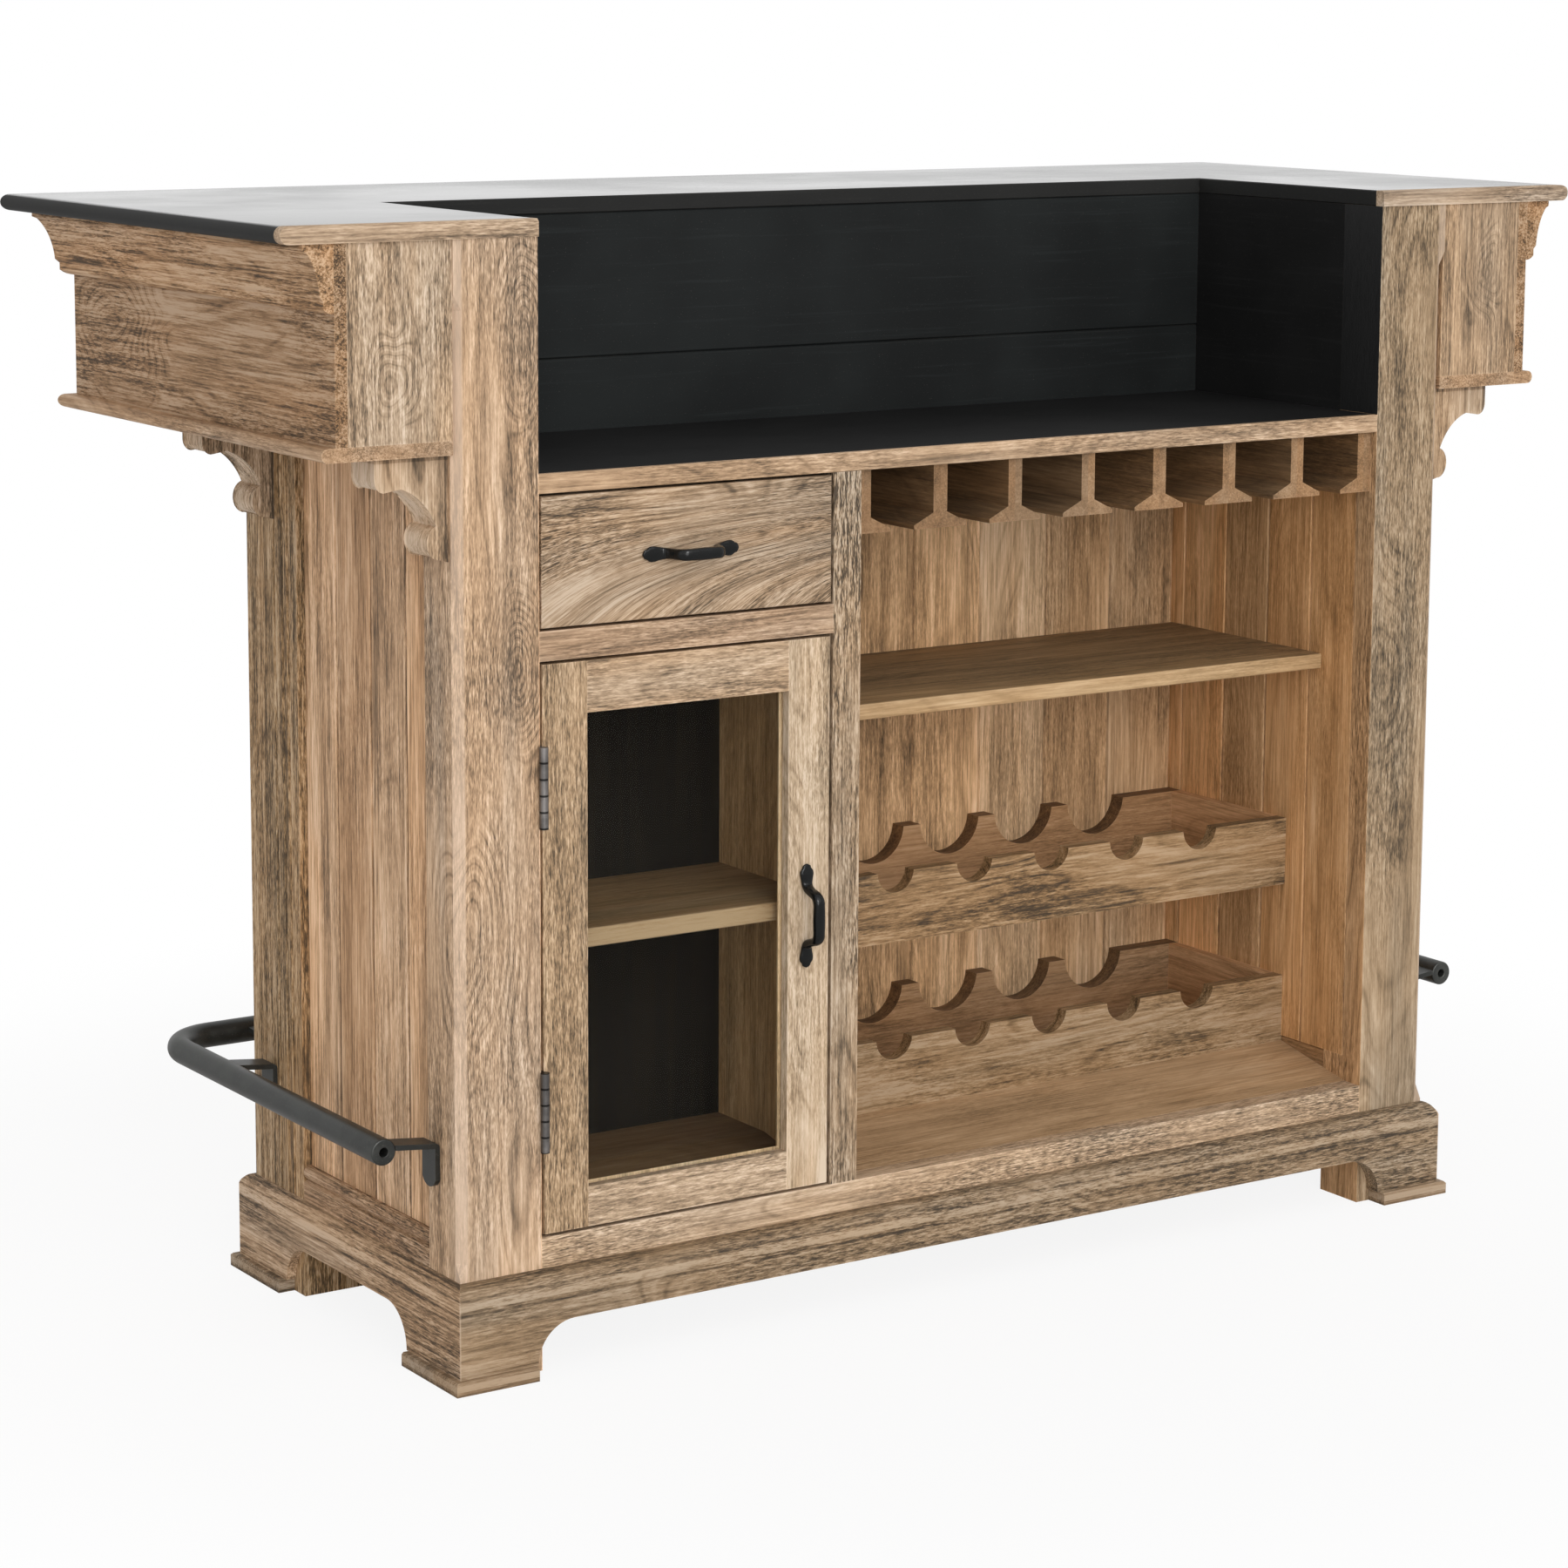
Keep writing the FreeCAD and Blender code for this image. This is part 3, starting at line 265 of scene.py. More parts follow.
    def parts(self, vector: object) -> tuple[Socket, ...]:
        """Splits a vector into its three numbers."""
        return tuple(self.add("SeparateXYZ", {0: vector}).node.outputs)

    def joined(self, *numbers: object) -> Socket:
        """Joins three numbers into a vector."""
        return self.add("CombineXYZ", dict(enumerate(numbers)))

    def ray(self, kind: str) -> Socket:
        """Tells whether light comes by a ray of one kind."""
        return self.add("LightPath", {}, f"Is {kind} Ray")

    def normal(self) -> Socket:
        """Returns the way that the surface faces."""
        return self.add("NewGeometry", {}, "Normal")

    def seams(self, value: object, anchor: float, pitch: float) -> tuple[Socket, Socket]:
        """Counts steps along an axis and finds how far a point is from the nearest one's start.

        Args:
            value: the place on the axis.
            anchor: where the first step starts.
            pitch: the length of a step.

        Returns:
            The count and the distance.
        """
        turns = self.sum("DIVIDE", self.less(value, anchor), pitch)
        return turns, self.times(self.sum("PINGPONG", turns, 0.5), pitch)

    def edges(self, radius: float, low: float, high: float) -> Socket:
        """Finds the worn arrises: one less the product of the rounded and the flat normal.

        Args:
            radius: the width of the arris, in metres.
            low: the difference at which wear starts.
            high: the difference at which it is full.

        Returns:
            The share of wear.
        """
        rounded = self.add("Bevel", {"Radius": radius}, samples=4)
        same = self.vector("DOT_PRODUCT", rounded, self.normal(), output="Value")
        return self.between(self.less(1.0, same), low, high)

    def coat(self, colour: object, rough: object, specular: float, metallic: float = 0.0) -> None:
        """Sets what the shader sends back.

        Args:
            colour: its colour.
            rough: its roughness.
            specular: the strength of its plain reflection.
            metallic: how metallic it is.
        """
        names = ("Base Color", "Roughness", "Specular IOR Level", "Metallic")
        self.fill(self.shader, dict(zip(names, (colour, rough, specular, metallic))))

    def relief(self, height: object, depth: float, strength: float) -> None:
        """Gives the shader a bump from a height, of which one unit is depth metres deep."""
        bump = self.add("Bump", {"Height": height, "Distance": depth, "Strength": strength})
        self.feed(self.shader.inputs["Normal"], bump)

    def overlay(self, share: object, other: Socket) -> None:
        """Shows a share of another shader in place of the tree's own."""
        mixed = self.add("MixShader", {0: share, 1: self.shader.outputs[0], 2: other})
        self.feed(self.output.inputs[0], mixed)


def material_sketch(name: str) -> Sketch:
    """Starts a material with a plain shader."""
    return Sketch(bpy.data.materials.new(name))


@dataclass(frozen=True)
class Boards:
    """Where one board ends and the next begins, so that each has its own tone and figure."""

    axis: Axis
    pitch: float
    anchor: float
    seam: float


@dataclass(frozen=True)
class Burl:
    """A place where the rings swirl round a knot or a crotch, and how dark it is."""

    centre: Size
    spread: Size
    lift: float
    stain: float


@dataclass(frozen=True)
class Band:
    """A strip across a board, between two places on one axis in metres, and how much paler it is; some strips
    are painted highlights and painted shade.
    """

    axis: Axis
    low: float
    high: float
    lift: float


@dataclass(frozen=True)
class WoodFinish:
    """Mango wood with open pores, limed with a pale wash and worn on its arrises."""

    name: str
    grain: Axis
    seed: float
    ground: Rgb = (182, 151, 122)
    contrast: float = 1.0
    speckle: float = 1.0
    streaks: float = 1.0
    rings: float = 1.0
    broad: float = 1.0
    grey: float = 0.22
    uneven: float = 0.22
    end_grain: float = 0.0
    dim_from: Optional[float] = None
    worn: float = 0.55
    knots: float = 0.5
    fan: Optional[tuple[float, float, float, float]] = None
    gloss: float = 0.6
    boards: Optional[Boards] = None
    burls: tuple[Burl, ...] = ()
    side_from: Optional[float] = None
    lacquered: Optional[Pair] = None
    pale_corner: Optional[Pair] = None
    bands: tuple[Band, ...] = ()
    arris: float = 0.0026

    def tones(self) -> list[tuple[float, Rgb]]:
        """Lists the colours from an open pore to the limed wash: ground mixed with ash, times a level.

        Returns:
            Places on the ramp and their colours.
        """
        ground = np.array(self.ground)
        ash = np.full(3, ground.mean())
        steps = (
            (0.02, 0.46, -0.04),
            (0.22, 0.67, -0.1),
            (0.40, 0.86, -0.07),
            (0.54, 1.01, 0.0),
            (0.68, 1.15, 0.12),
            (0.92, 1.36, 0.34),
        )
        return [
            (place, tuple(np.clip((ground * (1 - dull) + ash * dull) * level, 0, 244).tolist()))
            for place, level, dull in steps
        ]

    def material(self) -> bpy.types.Material:
        """Writes the wood."""
        return WoodSketch(self).finished()


class WoodSketch(Sketch):
    """The tree of one wood finish, whose fields follow the fibres and add up to one tone."""

    BOARD_STEP = (9.0, 7.0, 11.0)
    SEED_STEP = (1.7, 2.3, 3.1)

    def __init__(self, finish: WoodFinish) -> None:
        """Reads the place, the board and the fields that several steps need."""
        super().__init__(bpy.data.materials.new(finish.name))
        self.finish = finish
        self.axes = self.parts(self.at)
        self.bright, self.spread, self.seam = self.board()
        self.fine = self.noise((430.0, 430.0, 14.0), 3.0, 0.65)
        self.broad = self.noise((9.0, 9.0, 3.6), 3.0, 0.55)
        self.grit = self.noise((700.0, 700.0, 95.0), 2.0, 0.75)
        self.lifted = self.banded()

    def off_middle(self, value: Socket) -> Socket:
        """Takes a half from a field."""
        return self.less(value, 0.5)

    def board(self) -> tuple[Socket, Socket, object]:
        """Draws a random number and vector for the board that a point is on, and finds its seams.

        Returns:
            The board's number, its vector, and how much the joint darkens a point, less the painted highlight
            beside it.
        """
        boards = self.finish.boards
        number, seam = self.finish.seed + 0.5, 0.0
        if boards is not None:
            turns, apart = self.seams(self.axes[boards.axis.value], boards.anchor, boards.pitch)
            number = self.sum("ADD", self.sum("FLOOR", turns), number)
            groove = self.between(apart, 0.0022, 0.0006, 0.0, boards.seam)
            # The dark groove is the joint itself; the pale line on the lip beside it is a painted highlight.
            lip_highlight = self.times(self.between(apart, 0.0020, 0.0034), self.between(apart, 0.0062, 0.0042))
            seam = self.more(lip_highlight, -0.45 * boards.seam, groove)
        draw = self.add("TexWhiteNoise", {"W": number}, noise_dimensions="1D").node.outputs
        return draw["Value"], draw["Color"], seam

    @cached_property
    def fibre(self) -> Socket:
        """Turns the coordinates so that the fibres run along z, and moves them by board and seed.

        Fanned fibres rise with x first, by a slope that grows from the board's top to its foot.

        Returns:
            The place that every field of the wood is read at.
        """
        look = self.finish
        x, y, z = self.axes
        if look.fan is not None:
            left, top, foot, slope = look.fan
            z = self.less(z, self.times(self.less(x, left), self.between(z, top, foot, 0.04, slope)))
        ways = {Axis.X: (z, y, x), Axis.Y: (x, z, y), Axis.Z: (x, y, z)}
        made = self.joined(*ways[look.grain])
        if look.side_from is not None:
            share = self.sum("GREATER_THAN", self.sum("ABSOLUTE", x), look.side_from)
            inputs = {0: share, 4: made, 5: self.joined(*ways[Axis.Y])}
            made = self.add("Mix", inputs, 1, data_type="VECTOR")
        made = self.vector("ADD", made, self.vector("MULTIPLY", self.spread, self.BOARD_STEP))
        return self.vector("ADD", made, scaled(self.SEED_STEP, look.seed))

    def banded(self) -> object:
        """Adds up the lifts of the bands that a point is in, each with a soft edge.

        Returns:
            The sum of the lifts.
        """
        lifted: object = 0.0
        edge = 0.0005
        for band in self.finish.bands:
            at = self.axes[band.axis.value]
            over = self.between(at, band.low - edge, band.low + edge)
            under = self.between(at, band.high + edge, band.high - edge)
            lifted = self.more(self.times(over, under), band.lift, lifted)
        return lifted

    def swirled(self, wave: Socket) -> tuple[object, object]:
        """Adds the placed burls: one less the distance to each, smoothed, times its lift.

        Args:
            wave: the ring field so far.

        Returns:
            The ring field and the stain of the burls.
        """
        stain: object = 0.0
        for burl in self.finish.burls:
            step = self.vector("SUBTRACT", self.at, to_scene(burl.centre).tolist())
            shares = self.vector("DIVIDE", step, scaled(burl.spread, MM))
            near = self.between(self.vector("LENGTH", shares, output="Value"), 1.0, 0.0)
            wave = self.more(near, burl.lift, wave)
            stain = self.more(near, burl.stain, stain)
        return wave, stain

    def rings(self) -> tuple[Socket, Socket, object]:
        """Draws the ring lines: a soft field bent by knots and burls, cut into even steps.

        Returns:
            The lines, the knots' dark cores and the burls' stain.
        """
        place = {"Vector": self.stretch((5.4, 5.4, 2.2)), "Scale": 1.0}
        distance = self.add("TexVoronoi", place, "Distance")
        near = self.between(distance, 0.45, 0.04)
        core = self.between(distance, 0.07, 0.03)
        wave = self.more(near, 0.3 * self.finish.knots, self.noise((8.0, 8.0, 1.5), 2.0, 0.45, 0.5))
        wave, stain = self.swirled(wave)
        ring = self.sum("PINGPONG", self.times(wave, 19.0), 0.5)
        line = self.less(self.between(ring, 0.30, 0.5), self.between(ring, 0.16, 0.0, 0.0, 1.5))
        faint = self.between(self.noise((26.0, 26.0, 9.0), 2.0, 0.6), 0.36, 0.64, 0.1, 1.5)
        return self.times(line, faint), core, stain

    def total(self) -> Socket:
        """Adds up streaks, fibres, broad tone, pores, rings, bands (some of them painted highlights and
        shade), painted shade on faces turned from y, seams with a painted highlight beside them, knots and
        wear.

        Returns:
            The tone, from nought for an open pore to one for the limed wash.
        """
        look = self.finish
        line, core, stain = self.rings()
        streak = self.noise((60.0, 60.0, 2.6), 4.0, 0.6, 0.2)
        total: object = 0.53
        strengths = (0.62 * look.streaks, 0.78 * look.streaks, 0.5 * look.broad)
        for layer, strength in zip((streak, self.fine, self.broad), strengths):
            total = self.more(self.off_middle(layer), strength * look.contrast, total)
        specks = self.times(self.off_middle(self.grit), self.between(self.broad, 0.66, 0.36, 0.35, 1.6))
        total = self.more(specks, 0.85 * look.speckle * look.contrast, total)
        total = self.more(line, 0.06 * look.rings * look.contrast, total)
        total = self.sum("ADD", self.less(total, stain), self.lifted)
        # Painted shade: faces that turn away from y are darkened by their facing alone; a negative strength
        # paints them paler, as painted light.
        if look.end_grain:
            facing = self.parts(self.normal())[1]
            across = self.between(self.sum("ABSOLUTE", facing), 0.75, 0.45)
            total = self.more(across, -look.end_grain, total)
        total = self.more(core, -0.45 * min(1.0, 2.0 * look.knots), self.less(total, self.seam))
        return self.more(self.edges(look.arris, 0.03, 0.2), 0.28 * look.worn, total)

    def corner(self) -> object:
        """Finds the pale worn corner where two faces meet, given as its x and y in metres.

        Returns:
            How much of the paler colour shows.
        """
        if self.finish.pale_corner is None:
            return 0.0
        wide, forth = self.finish.pale_corner
        outside = self.between(self.sum("ABSOLUTE", self.axes[0]), wide - 0.0022, wide + 0.0008)
        forward = self.between(self.axes[1], forth + 0.0022, forth - 0.0008)
        return self.times(self.times(outside, forward), self.between(self.broad, 0.3, 0.6, 0.3, 0.62))

    def coloured(self, total: Socket) -> Socket:
        """Turns the tone into a colour with warmer and greyer places, each board's own brightness and, where
        set, painted shade left of a place on x.

        Args:
            total: the tone.

        Returns:
            The colour.
        """
        look = self.finish
        colour = self.ramp(total, look.tones())
        hue = self.noise((16.0, 16.0, 2.4), 3.0, 0.6)
        warm = self.more(self.off_middle(self.parts(self.spread)[1]), look.uneven, hue)
        cast = self.blend(self.between(warm, 0.32, 0.68), (0.965, 1.0, 1.025, 1.0), (1.045, 0.985, 0.89, 1.0))
        colour = self.tinted(1.0, colour, cast)
        dull = self.times(self.between(self.broad, 0.52, 0.36), look.grey)
        colour = self.tinted(dull, colour, (0.86, 0.92, 0.99, 1.0))
        colour = self.blend(self.corner(), colour, (206, 182, 160))
        bright = self.more(self.off_middle(self.bright), look.uneven, 1.0)
        shares = {number: self.times(bright, share) for number, share in enumerate((1.0, 0.99, 0.98))}
        colour = self.blend(1.0, colour, self.add("CombineColor", shares), "MULTIPLY")
        # Painted shade: left of the given x the colour is darkened, standing in for the shade inside the
        # cupboard.
        if look.dim_from is not None:
            dim = self.sum("LESS_THAN", self.axes[0], look.dim_from)
            colour = self.tinted(dim, colour, (0.42, 0.38, 0.36, 1.0))
        return colour

    def painted(self, colour: Socket, rough: Socket) -> tuple[Socket, Socket]:
        """Lacquers the board's inner part above a height, and brightens and warms all of its inner part as
        painted light.

        Args:
            colour: the wood's colour.
            rough: its roughness.

        Returns:
            Both with the lacquer.
        """
        width, foot = self.finish.lacquered
        inside = self.sum("LESS_THAN", self.sum("ABSOLUTE", self.axes[0]), width)
        painted = self.times(inside, self.sum("GREATER_THAN", self.axes[2], foot))
        # Painted light: the inner face is brightened and warmed as if it caught more light than the lamps
        # give it.
        colour = self.tinted(inside, colour, (1.5, 1.27, 1.05, 1.0))
        return self.blend(painted, colour, (22, 22, 22)), self.more(painted, -0.1, rough)

    def finished(self) -> bpy.types.Material:
        """Joins tone, colour, roughness and relief.

        Returns:
            The finished material.
        """
        total = self.total()
        colour = self.coloured(total)
        rough = self.more(total, -0.16, self.finish.gloss + 0.1)
        if self.finish.lacquered is not None:
            colour, rough = self.painted(colour, rough)
        self.coat(colour, rough, 0.28)
        height = self.more(self.grit, 0.7, self.times(self.fine, 0.5))
        self.relief(self.more(self.lifted, 3.0, height), 0.0008, 0.5)
        return self.owner


@dataclass(frozen=True)
class SatinPaint:
    """Black satin lacquer over wood: faint brush lines, dust and thin wear on the arrises."""

    name: str
    grain: Axis
    colour: Rgb
    gloss: float
    shine: float
    rubbed: Rgb = (78, 70, 60)
    worn: float = 0.35
    seed: float = 0.0
    face_from: Optional[float] = None

    def material(self) -> bpy.types.Material:
        """Writes the lacquer with its brush lines, dust and wear, duller below its polished face.

        Returns:
            The finished material.
        """
        sketch = material_sketch(self.name)
        size = [210.0, 210.0, 210.0]
        size[self.grain.value] = 6.0
        brush = sketch.noise(size, 3.0, 0.6, start=self.seed)
        cloud = sketch.noise((5.0, 5.0, 5.0), 3.0, 0.55)
        dust = sketch.noise((900.0, 900.0, 900.0), 1.0, 0.5)
        colour = sketch.blend(sketch.between(cloud, 0.35, 0.7), self.colour, scaled(self.colour, 1.4))
        colour = sketch.over(brush, (0.55, 0.75), 0.35, colour, scaled(self.colour, 2.0))
        colour = sketch.over(dust, (0.70, 0.80), 0.35, colour, (96, 92, 86))
        wear = sketch.times(sketch.edges(0.0016, 0.05, 0.3), sketch.between(brush, 0.42, 0.62))
        colour = sketch.blend(sketch.times(wear, self.worn), colour, self.rubbed)
        rough = sketch.more(sketch.between(cloud, 0.3, 0.7), 0.07, self.gloss)
        if self.face_from is not None:
            below = sketch.between(sketch.parts(sketch.at)[2], self.face_from, self.face_from - 0.001)
            rough = sketch.more(below, 0.5, rough)
        sketch.coat(colour, sketch.more(brush, 0.06, rough), self.shine)
        sketch.relief(sketch.more(brush, 0.8, sketch.times(cloud, 0.6)), 0.00018, 0.35)
        return sketch.owner


@dataclass(frozen=True)
class ForgedMetal:
    """Blackened or bare metal: mottled, a little pitted, rubbed on its edges."""

    name: str
    colour: Rgb
    rubbed: Rgb
    metallic: float
    gloss: float = 0.4
    worn: float = 0.4
    shine: float = 0.5
    ribs: Optional[Pair] = None

    def material(self) -> bpy.types.Material:
        """Writes the metal with its mottle, pits, wear and the dark gaps between its ribs.

        Returns:
            The finished material.
        """
        sketch = material_sketch(self.name)
        cloud = sketch.noise((26.0, 26.0, 26.0), 4.0, 0.6, 0.3)
        grit = sketch.noise((620.0, 620.0, 620.0), 2.0, 0.6)
        colour = sketch.blend(sketch.between(cloud, 0.36, 0.68), self.colour, scaled(self.colour, 1.45))
        colour = sketch.over(grit, (0.62, 0.76), 0.4, colour, self.rubbed)
        wear = sketch.times(sketch.edges(0.0012, 0.04, 0.25), sketch.between(cloud, 0.35, 0.6))
        colour = sketch.blend(sketch.times(wear, self.worn), colour, self.rubbed)
        if self.ribs is not None:
            pitch, start = self.ribs
            _, apart = sketch.seams(sketch.parts(sketch.at)[2], start, pitch)
            colour = sketch.blend(sketch.between(apart, 0.0012, 0.0006, 0.0, 0.9), colour, (14, 13, 12))
        rough = sketch.more(sketch.between(cloud, 0.3, 0.75), 0.14, self.gloss)
        sketch.coat(colour, rough, self.shine, self.metallic)
        sketch.relief(sketch.more(grit, 0.2, sketch.times(cloud, 0.8)), 0.00035, 0.5)
        return sketch.owner


@dataclass(frozen=True)
class ShadePanel:
    """A thin board made near black as painted shade, with a faint straight grain."""

    name: str
    colour: Rgb
    streak: Rgb

    def material(self) -> bpy.types.Material:
        """Writes the stained board.

        Returns:
            The finished material.
        """
        sketch = material_sketch(self.name)
        fibre = sketch.noise((150.0, 150.0, 5.0), 3.0, 0.6, 0.2)
        cloud = sketch.noise((6.0, 6.0, 3.0), 2.0, 0.5)
        colour = sketch.blend(sketch.between(fibre, 0.38, 0.68), self.colour, self.streak)
        colour = sketch.over(cloud, (0.4, 0.7), 0.3, colour, self.colour)
        sketch.coat(colour, sketch.between(fibre, 0.3, 0.7, 0.55, 0.72), 0.14)
        sketch.relief(fibre, 0.0003, 0.4)
        return sketch.owner


@dataclass(frozen=True)
class PaneGlass:
    """A clear window pane with a few smears, which lets the studio's light through."""

    name: str
    tint: Rgb = (236, 238, 232)

    def material(self) -> bpy.types.Material:
        """Writes the pane.

        Returns:
            The finished material.
        """
        sketch = material_sketch(self.name)
        smear = sketch.noise((7.0, 7.0, 4.0), 1.0, 0.4)
        sketch.coat(self.tint, sketch.between(smear, 0.45, 0.8, 0.0, 0.012), 0.5)
        sketch.fill(sketch.shader, {"Transmission Weight": 1.0, "IOR": 1.1})
        passing = sketch.sum("MAXIMUM", sketch.ray("Shadow"), sketch.ray("Diffuse"))
        sketch.overlay(passing, sketch.add("BsdfTransparent", {"Color": (0.96, 0.97, 0.95, 1.0)}))
        return sketch.owner


Finish = WoodFinish | SatinPaint | ForgedMetal | ShadePanel | PaneGlass


INNER_LOOK = dict(
    ground=(176, 142, 108), contrast=0.85, speckle=0.65, rings=0.8, worn=0.3, grey=0.1, gloss=0.52, knots=0.3,
    uneven=0.34,
)


def inner_finish(node: str, grain: Axis, seed: float, **changes: object) -> WoodFinish:
    """Names the smoother and warmer wood inside the counter, with a node's own changes."""
    return WoodFinish(f"wood_{node}", grain, seed, **{**INNER_LOOK, **changes})


class Workshop:
    """Makes pieces from points and dresses CAD nodes, keeping one material for each finish."""

    def __init__(self, packed: dict) -> None:
        """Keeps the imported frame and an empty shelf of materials."""
        self.packed = packed
        self.shelf: dict[str, bpy.types.Material] = {}
        bodies = packed["record"]["behaviour"]["bodies"]
        self.body_of = {node: body for body, nodes in bodies.items() for node in nodes}

    def material(self, finish: Finish) -> bpy.types.Material:
        """Finds a finish's material on the shelf, or writes it on its first use.

        Args:
            finish: the finish.

        Returns:
            Its one material.
        """
        if finish.name not in self.shelf:
            self.shelf[finish.name] = finish.material()
        return self.shelf[finish.name]

    def dress(self, node: str, finish: Finish) -> None:
        """Gives a CAD node a finish through its object's own material slots.

        Args:
            node: the CAD node's name.
            finish: what it is finished with.
        """
        made = self.material(finish)
        piece = self.packed["nodes"][node]
        if not piece.material_slots:
            piece.data.materials.append(made)
        for place in piece.material_slots:
            place.link = "OBJECT"
            place.material = made
        LOG.info("dressed %s as %s", node, finish.name)

    def piece(
        self, name: str, shape: Shape, finish: Finish, node: Optional[str], slot: str, arris: float = 0.0
    ) -> None:
        """Makes one piece, which rides where its CAD node rides, or an extra one on the counter.

        Args:
            name: the piece's name.
            shape: its corners in millimetres, from the posts' working face, and its faces.
            finish: what it is finished with.
            node: the CAD node that it replaces, or None for a piece of its own.
            slot: the record's material slot; not used.
            arris: the width of its softened edges in millimetres, or nought.
        """
        points, faces = shape
        mesh = bpy.data.meshes.new(name)
        mesh.from_pydata(to_scene(points).tolist(), [], [tuple(face) for face in faces])
        mesh.validate()
        mesh.polygons.foreach_set("use_smooth", np.ones(len(mesh.polygons), bool))
        mesh.set_sharp_from_angle(angle=SHARP_ANGLE)
        made = bpy.data.objects.new(name, mesh)
        bpy.context.scene.collection.objects.link(made)
        mesh.materials.append(self.material(finish))
        if arris:
            soft = made.modifiers.new("soft_arris", "BEVEL")
            soft.width = arris * MM
            soft.segments = 3
            soft.limit_method = "ANGLE"
            soft.angle_limit = SHARP_ANGLE
            soft.harden_normals = False
        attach(made, "counter" if node is None else self.body_of[node])
        if node is not None:
            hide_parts(node)
        LOG.info("made %s with %d faces", name, len(mesh.polygons))


def grid_faces(rows: int, columns: int) -> np.ndarray:
    """Joins a grid of ring points into quads: corner (i, j) is point i * columns + j.

    Args:
        rows: how many stations the grid has.
        columns: how many points each closed station has.

    Returns:
        The quads as an array of four corner numbers a row.
    """
    i, j = np.meshgrid(np.arange(rows - 1), np.arange(columns), indexing="ij")
    after = (j + 1) % columns
    quads = [i * columns + j, (i + 1) * columns + j, (i + 1) * columns + after, i * columns + after]
    return np.stack(quads, axis=-1).reshape(-1, 4)


def facing_out(points: np.ndarray, faces: list) -> list:
    """Turns a closed shape's faces outwards: the sum of its corner pyramids has to be positive.

    Args:
        points: the corners.
        faces: the faces, all wound the same way.

    Returns:
        The faces, reversed where the shape was inside out.
    """
    fans = [(f[0], f[i], f[i + 1]) for f in faces for i in range(1, len(f) - 1)]
    a, b, c = points[np.array(fans)].transpose(1, 0, 2)
    volume = np.einsum("ij,ij->i", a, np.cross(b, c)).sum()
    return [face[::-1] for face in faces] if volume < 0 else faces


def ring_grid(sections: np.ndarray) -> Shape:
    """Closes a row of ring sections with a flat cap at each end.

    Args:
        sections: an array of stations by ring points by three.

    Returns:
        The points and the faces.
    """
    rows, columns, _ = sections.shape
    first = np.arange(columns)
    last = first + (rows - 1) * columns
    faces = grid_faces(rows, columns).tolist() + [first[::-1].tolist(), last.tolist()]
    points = sections.reshape(-1, 3)
    return points, facing_out(points, faces)


def joined(parts: Sequence[Shape]) -> Shape:
    """Puts several closed shapes into one piece.

    Args:
        parts: the points and faces of each.

    Returns:
        All their points and faces.
    """
    starts = np.cumsum([0] + [len(points) for points, _ in parts[:-1]])
    faces = [[int(i + start) for i in face] for start, (_, shape) in zip(starts, parts) for face in shape]
    return np.concatenate([points for points, _ in parts]), faces


def full_turn(count: int) -> np.ndarray:
    """Divides a full turn into even angles."""
    return np.linspace(0.0, 2 * math.pi, count, endpoint=False)


def stacked(*axes: np.ndarray) -> np.ndarray:
    """Puts coordinates side by side along a new last axis."""
    return np.stack(np.broadcast_arrays(*axes), axis=-1)


def arc(start: Pair, middle: Pair, end: Pair, count: int) -> np.ndarray:
    """Points along the circle through three points: centre plus radius times the turned unit vector.

    Args:
        start: where the arc starts.
        middle: a point that it passes.
        end: where it ends.
        count: how many points it has.

    Returns:
        The points, both ends included.
    """
    a, b, c = (complex(*p) for p in (start, middle, end))
    w = (c - a) / (b - a)
    centre = (b - a) * (w - abs(w) ** 2) / (2j * w.imag) + a
    first = np.angle(a - centre)
    turn = np.angle((c - centre) / (a - centre))
    through = np.angle((b - centre) / (a - centre))
    if turn * through < 0 or abs(through) > abs(turn):
        turn -= math.copysign(2 * math.pi, turn)
    ring = centre + abs(a - centre) * np.exp(1j * (first + turn * np.linspace(0.0, 1.0, count)))
    return stacked(ring.real, ring.imag)


def smooth_rows(rows: np.ndarray, steps: int) -> np.ndarray:
    """Fills in rows along the Catmull-Rom curve, which passes through each given row.

    Args:
        rows: the given rows.
        steps: how many rows each gap becomes.

    Returns:
        The denser rows.
    """
    padded = np.concatenate([rows[:1], rows, rows[-1:]])[:, None, :]
    a, b, c, d = padded[:-3], padded[1:-2], padded[2:-1], padded[3:]
    t = (np.arange(steps) / steps)[None, :, None]
    curve = 0.5 * (2 * b + (c - a) * t + (2 * a - 5 * b + 4 * c - d) * t**2 + (3 * b - a - 3 * c + d) * t**3)
    return np.concatenate([curve.reshape(-1, rows.shape[1]), rows[-1:]])


@dataclass
class Assembly:
    """A group of pieces, and the shop that makes and dresses them."""

    shop: Workshop

    def wood(self, node: str, grain: Axis, seed: float, **changes: object) -> None:
        """Dresses a CAD node in the outside wood, with its own grain way and changes."""
        self.shop.dress(node, WoodFinish(f"wood_{node}", grain, seed, **changes))

    def inner_wood(self, node: str, grain: Axis, seed: float, **changes: object) -> None:
        """Dresses a CAD node in the wood inside the counter."""
        self.shop.dress(node, inner_finish(node, grain, seed, **changes))


